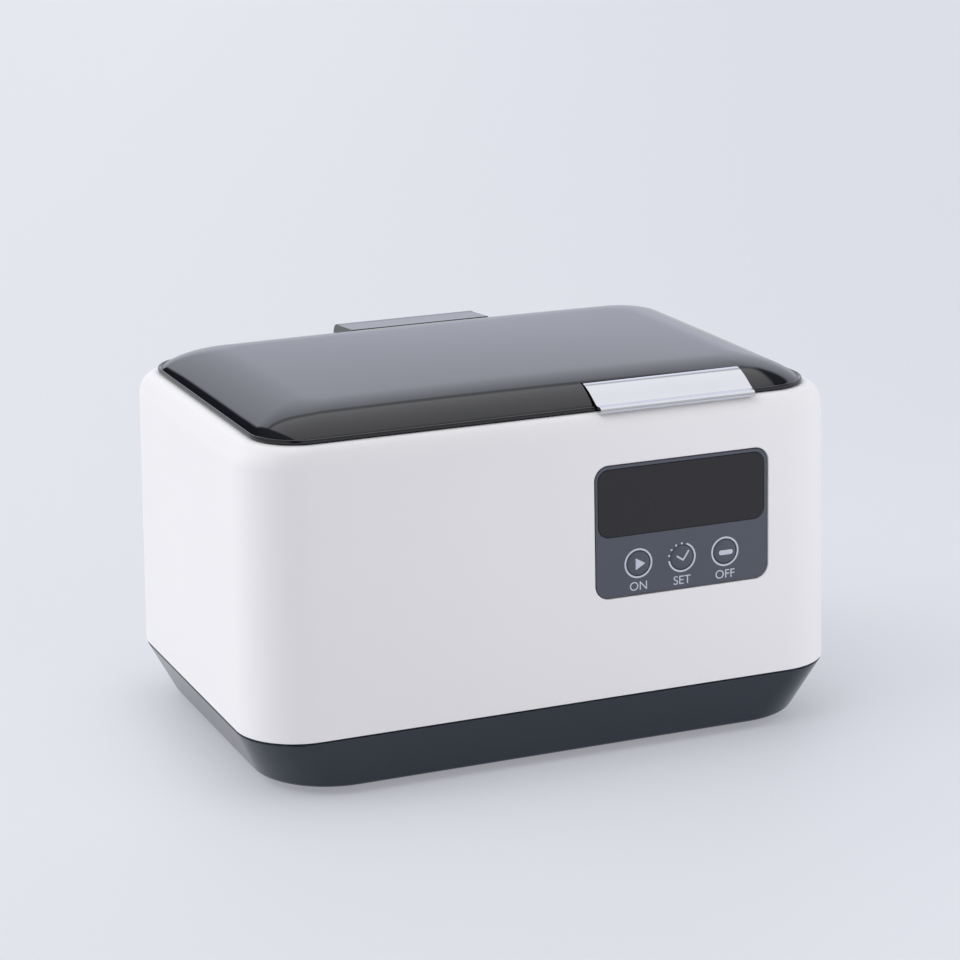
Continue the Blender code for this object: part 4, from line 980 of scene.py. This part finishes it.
KEY_ICONS = {"on": start_icon, "set": clock_icon, "off": stop_icon}
KEY_RINGS = {"on": lambda: [ring_print()], "set": clock_ring, "off": lambda: [ring_print()]}


def lettering(word):
    """A plain word in Blender's own font, centred on the origin, with capitals of the legend's height."""
    bpy.ops.object.select_all(action="DESELECT")
    bpy.ops.object.text_add()
    text = bpy.context.object
    text.data.body = word
    text.data.align_x = "CENTER"
    text.data.size = LEGEND_HEIGHT / CAPITAL_SHARE * MM
    bpy.ops.object.convert(target="MESH")
    return bpy.context.object


def join_flat(name, parts):
    """Joins flat patches into one print, still without thickness."""
    pick(*parts)
    if len(parts) > 1:
        bpy.ops.object.join()
    obj = bpy.context.object
    obj.name = name
    bpy.ops.object.mode_set(mode="EDIT")
    bpy.ops.mesh.select_all(action="SELECT")
    bpy.ops.mesh.remove_doubles(threshold=1e-6)
    close_up(obj)
    return obj


def lay_on(obj, cap):
    """Drops a flat print on to a domed cap, so that it follows the dome."""
    pick(obj)
    bpy.ops.object.mode_set(mode="EDIT")
    bpy.ops.mesh.select_all(action="SELECT")
    bpy.ops.mesh.quads_convert_to_tris()
    bpy.ops.mesh.subdivide(number_cuts=5)
    bpy.ops.transform.translate(value=(0, 0, 2 * MM))
    bpy.ops.object.mode_set(mode="OBJECT")
    settings = {"wrap_method": "PROJECT", "use_project_z": True, "use_negative_direction": True}
    settings |= {"use_positive_direction": False, "target": cap, "offset": 0.02 * MM}
    apply(obj, "SHRINKWRAP", **settings)
    apply(obj, "SOLIDIFY", thickness=INK * MM, offset=1)


def print_on_panel(name, parts, at):
    """A print at a place on the panel, a hair above its face."""
    obj = join_flat(name, parts)
    apply(obj, "SOLIDIFY", thickness=INK * MM, offset=1)
    return place(obj, panel_plane() @ shift(*at, PANEL_FACE + 0.02))


# ---------------------------------------------------------------- inlet and the pieces inside


def make_inlet(materials):
    pin_x = 4.3
    sections = [(*INLET_BODY, -19.0), (*INLET_BODY, -1.5)]
    rounding = ((0, -1.5), (0, -0.4), (0.12, -0.12), (0.4, 0))
    sections += [inset_by(INLET_FLANGE, inset, z) for inset, z in rounding]
    inlet = rounded_shell("mains_inlet_moulding", sections, corner=10)
    steps = ((0, -13.0), (0, -0.4), (0.4, 0.0), (0.4, 4.0))
    socket = rounded_shell("socket", [inset_by((7.6, 3.9, 3.85), -grow, z) for grow, z in steps])
    cut(inlet, socket)
    for side in SIDES:
        cut(inlet, place(rod("pin_hole", 1.5, -24, -11), shift(side * pin_x, 0)))
    smooth(place(inlet, inlet_plane()))
    finish(inlet, materials["black_plastic"], "base", "mains_inlet")
    for side, name in SIDES.items():
        pin = turned(f"contact_pin_{name}", [(1.15, -22.5), (1.15, -3.6), (0.95, -3.2), (0.5, -3.0)], 32)
        place(smooth(pin), inlet_plane() @ shift(side * pin_x, 0))
        finish(pin, materials["brass"], "base", f"inlet_pin_{name}")


def finish_carried_nodes(materials):
    """The pieces that keep their CAD shape get their own slot's finish, which is zinc plating for steel."""
    by_slot = {SLOTS[material.name]: material for material in materials.values() if material.name in SLOTS}
    for obj in NODES.values():
        slot = obj.data.materials[0].name.split(".")[0]
        obj.data.materials[0] = by_slot[slot]


# ---------------------------------------------------------------- stage, light and camera


CAMERA_PLACE, CAMERA_AIM = (-0.36766, -0.90198, 0.34538), (0.00841, 0.01788, 0.07298)
CAMERA_LENS, CAMERA_ROLL = 111.866, -0.908
PICTURE_RIGHT = (0.926, -0.378, 0)  # the level direction that runs to the right in the camera's view


def make_stage():
    """A pale floor, painted with light: it glows faintly of itself, so that shadows on it stay soft and light,
    and its colour is painted darker towards the right.
    """
    floor = start("studio_floor", bpy.ops.mesh.primitive_circle_add, vertices=96, radius=12, fill_type="NGON")
    bpy.ops.object.mode_set(mode="OBJECT")
    # Painted light: the floor gives off a faint glow of its own though it is no lamp, which lifts the shadows on
    # it.
    painted_glow = {"Emission Color": linear("#E2E4EC"), "Emission Strength": 0.37}
    material, tree, shader, where = new_material("pale_floor_painted_light", Roughness=0.6, IOR=1.4, **painted_glow)
    # Painted shade: the floor's colour darkens towards the right of the picture, where the lamps' light falls
    # off.
    across = node(tree, "VectorMath", {0: where, 1: PICTURE_RIGHT}, operation="DOT_PRODUCT").outputs["Value"]
    right = node(tree, "MapRange", {"Value": across, "From Min": -0.3, "From Max": 0.3}).outputs["Result"]
    tones = {"Factor": right, "A": linear("#B9BABE"), "B": linear("#A9ABB2")}
    feed(tree, shader, {"Base Color": node(tree, "Mix", tones, data_type="RGBA").outputs["Result"]})
    floor.data.materials.append(material)


# The studio round the table, from the horizon to straight up: height of view, brightness, sRGB tint.
BACKDROP = (
    (0.0, 0.40, "#FCFDFF"), (0.12, 1.02, "#EBEDFF"), (0.3, 1.0, "#EEF0FF"), (0.5, 0.80, "#EEF1FF"),
    (0.75, 0.72, "#F0F2FF"), (1.0, 0.53, "#FFFFFF"),
)
ROOM = (
    (0.0, 0.28, "#FFFAF2"), (0.12, 0.27, "#FFF6E8"), (0.3, 0.36, "#FFF9F0"), (0.5, 0.55, "#FFFDFC"),
    (0.75, 0.58, "#F6F8FF"), (1.0, 0.28, "#F0F4FF"),
)
# What gloss and chrome mirror: the backdrop, a gap and the softbox overhead, with dark flags round them.
MIRRORED = (
    (0.0, 0.85, "#F2F4FF"), (0.12, 1.14, "#EBEDFF"), (0.3, 1.14, "#EEF0FF"), (0.5, 1.25, "#EEF1FF"),
    (0.64, 1.2, "#F0F2FF"), (0.67, 0.65, "#F0F2FF"), (0.7, 0.65, "#F6F6F8"), (0.73, 1.25, "#FAFAFE"),
    (1.0, 1.15, "#FAFAFE"),
)
FRONT = ((0.0, 0.45, "#F8F8FC"), (0.5, 0.75, "#F8F8FC"), (1.0, 0.6, "#F8F8FC"))
FLAGS = ((0.0, 0.04, "#E6EAFF"), (0.4, 0.06, "#E6EAFF"), (1.0, 0.25, "#F0F2FF"))


def height_ramp(tree, height, stops):
    """The brightness of one side of the studio, from its stops."""
    ramp = node(tree, "ValToRGB", {"Fac": height})
    elements = ramp.color_ramp.elements
    for stop in stops[1:-1]:
        elements.new(stop[0])
    for element, (position, brightness, tint) in zip(elements, stops):
        element.position = position
        element.color = [brightness * channel for channel in linear(tint)[:3]] + [1.0]
    return ramp.outputs["Color"]


def side_by_side(tree, edges, outside, inside):
    """Two views of the studio, the second inside soft edges. An edge is a direction and its two ends."""
    share = 1.0
    for value, low, high in edges:
        ends = {"Value": value, "From Min": low, "From Max": high}
        edge = node(tree, "MapRange", ends, interpolation_type="SMOOTHSTEP").outputs["Result"]
        share = node(tree, "Math", {0: edge, 1: share}, operation="MULTIPLY").outputs["Value"]
    mix = node(tree, "Mix", {"Factor": share}, data_type="RGBA")
    tree.links.new(outside, mix.inputs["A"])
    tree.links.new(inside, mix.inputs["B"])
    return mix.outputs["Result"]


def make_world():
    """A bright backdrop in a darker room lights the part; reflections show the softbox and the flags too."""
    world = bpy.data.worlds.new("studio")
    bpy.context.scene.world = world
    world.use_nodes = True
    tree = world.node_tree
    way = node(tree, "SeparateXYZ", {"Vector": node(tree, "TexCoord").outputs["Generated"]}).outputs
    backdrop, room, mirrored, front, flags = (
        height_ramp(tree, way["Z"], stops) for stops in (BACKDROP, ROOM, MIRRORED, FRONT, FLAGS)
    )
    lighting = side_by_side(tree, ((way["X"], -0.42, -0.24), (way["Y"], -0.15, 0.25)), room, backdrop)
    # Mirrored from left to right: a dim strip, a dark flag, the view ahead, and a flag high on the right.
    ahead = side_by_side(tree, ((way["Y"], -0.5, -0.22),), front, mirrored)
    left_flag = side_by_side(tree, ((way["X"], -0.18, -0.13),), flags, ahead)
    far_left = side_by_side(tree, ((way["X"], -0.6, -0.5),), front, left_flag)
    reflections = side_by_side(tree, ((way["X"], 0.47, 0.54), (way["Z"], 0.55, 0.66)), far_left, flags)
    glossy = node(tree, "LightPath").outputs["Is Glossy Ray"]
    studio = side_by_side(tree, ((glossy, 0.0, 1.0),), lighting, reflections)
    tree.links.new(studio, tree.nodes["Background"].inputs["Color"])
    tree.nodes["Background"].inputs["Strength"].default_value = 1.0


def add_light(name, kind, away, aim, power, colour, **settings):
    """A soft light that shines from one place towards another; reflections show the studio instead."""
    light = bpy.data.lights.new(name, kind)
    light.energy = power
    light.color = linear(colour)[:3]
    for key, value in settings.items():
        setattr(light, key, value)
    obj = bpy.data.objects.new(name, light)
    bpy.context.scene.collection.objects.link(obj)
    obj.location = away
    obj.rotation_euler = (Vector(away) - Vector(aim)).to_track_quat("Z", "Y").to_euler()
    obj.visible_glossy = False
    obj.visible_camera = False
    return obj


def make_lights():
    middle = (0, 0, 0)
    for name, direction, power, colour, spread_degrees in (
        ("key_softbox", (-0.61, -0.08, 0.79), 0.84, "#F6F6FF", 50),
        ("left_softbox", (-0.8, 0.45, 0.4), 0.49, "#FFFEFA", 50),
        ("left_card", (-0.9, 0.3, 0.15), 0.43, "#FFFBFA", 30),
        ("back_softbox", (-0.3, 0.75, 0.6), 0.34, "#FFFEE0", 60),
        ("ceiling", (0, 0, 1), 0.29, "#FFFFE8", 60),
    ):
        add_light(name, "SUN", direction, middle, power, colour, angle=math.radians(spread_degrees))
    for name, place_of, aim, power, colour, size in (
        ("right_card", (0.55, -0.35, 0.25), (0.05, 0, 0.06), 0.48, "#FFFEFF", 0.4),
        ("right_front_card", (0.34, -0.42, 0.1), (0.06, -0.07, 0.05), 0.5, "#FFFBF8", 0.3),
        ("front_softbox", (0.0, -1.2, 1.0), (0, 0, 0.06), 0.28, "#FDFAFF", 0.8),
    ):
        add_light(name, "AREA", place_of, aim, power, colour, size=size)


def make_camera():
    data = bpy.data.cameras.new("camera")
    camera = bpy.data.objects.new("camera", data)
    bpy.context.scene.collection.objects.link(camera)
    bpy.context.scene.camera = camera
    data.sensor_width, data.lens = 36.0, CAMERA_LENS
    camera.location = CAMERA_PLACE
    turn = (Vector(CAMERA_AIM) - camera.location).to_track_quat("-Z", "Y").to_matrix().to_4x4()
    camera.rotation_euler = (turn @ Matrix.Rotation(math.radians(CAMERA_ROLL), 4, "Z")).to_euler()


def main():
    makers = (
        white_abs, slate_abs, black_gloss, chrome, stainless, zinc_steel, aluminium, brass, panel_film,
        smoked_window, screen_ink, rubber, silicone, ceramic, board_laminate, black_plastic, capacitor_film,
        wire_sleeve,
    )
    materials = {maker.__name__: maker() for maker in makers}
    finish_carried_nodes(materials)
    for make in (
        make_housing, make_base_tray, make_feet_and_screws, make_tank, make_lid, make_lid_liner, make_pull,
        make_hinge, make_panel, make_keys, make_inlet,
    ):
        make(materials)
    bpy.context.scene.view_settings.view_transform = "Standard"
    make_stage()
    make_world()
    make_lights()
    make_camera()


main()
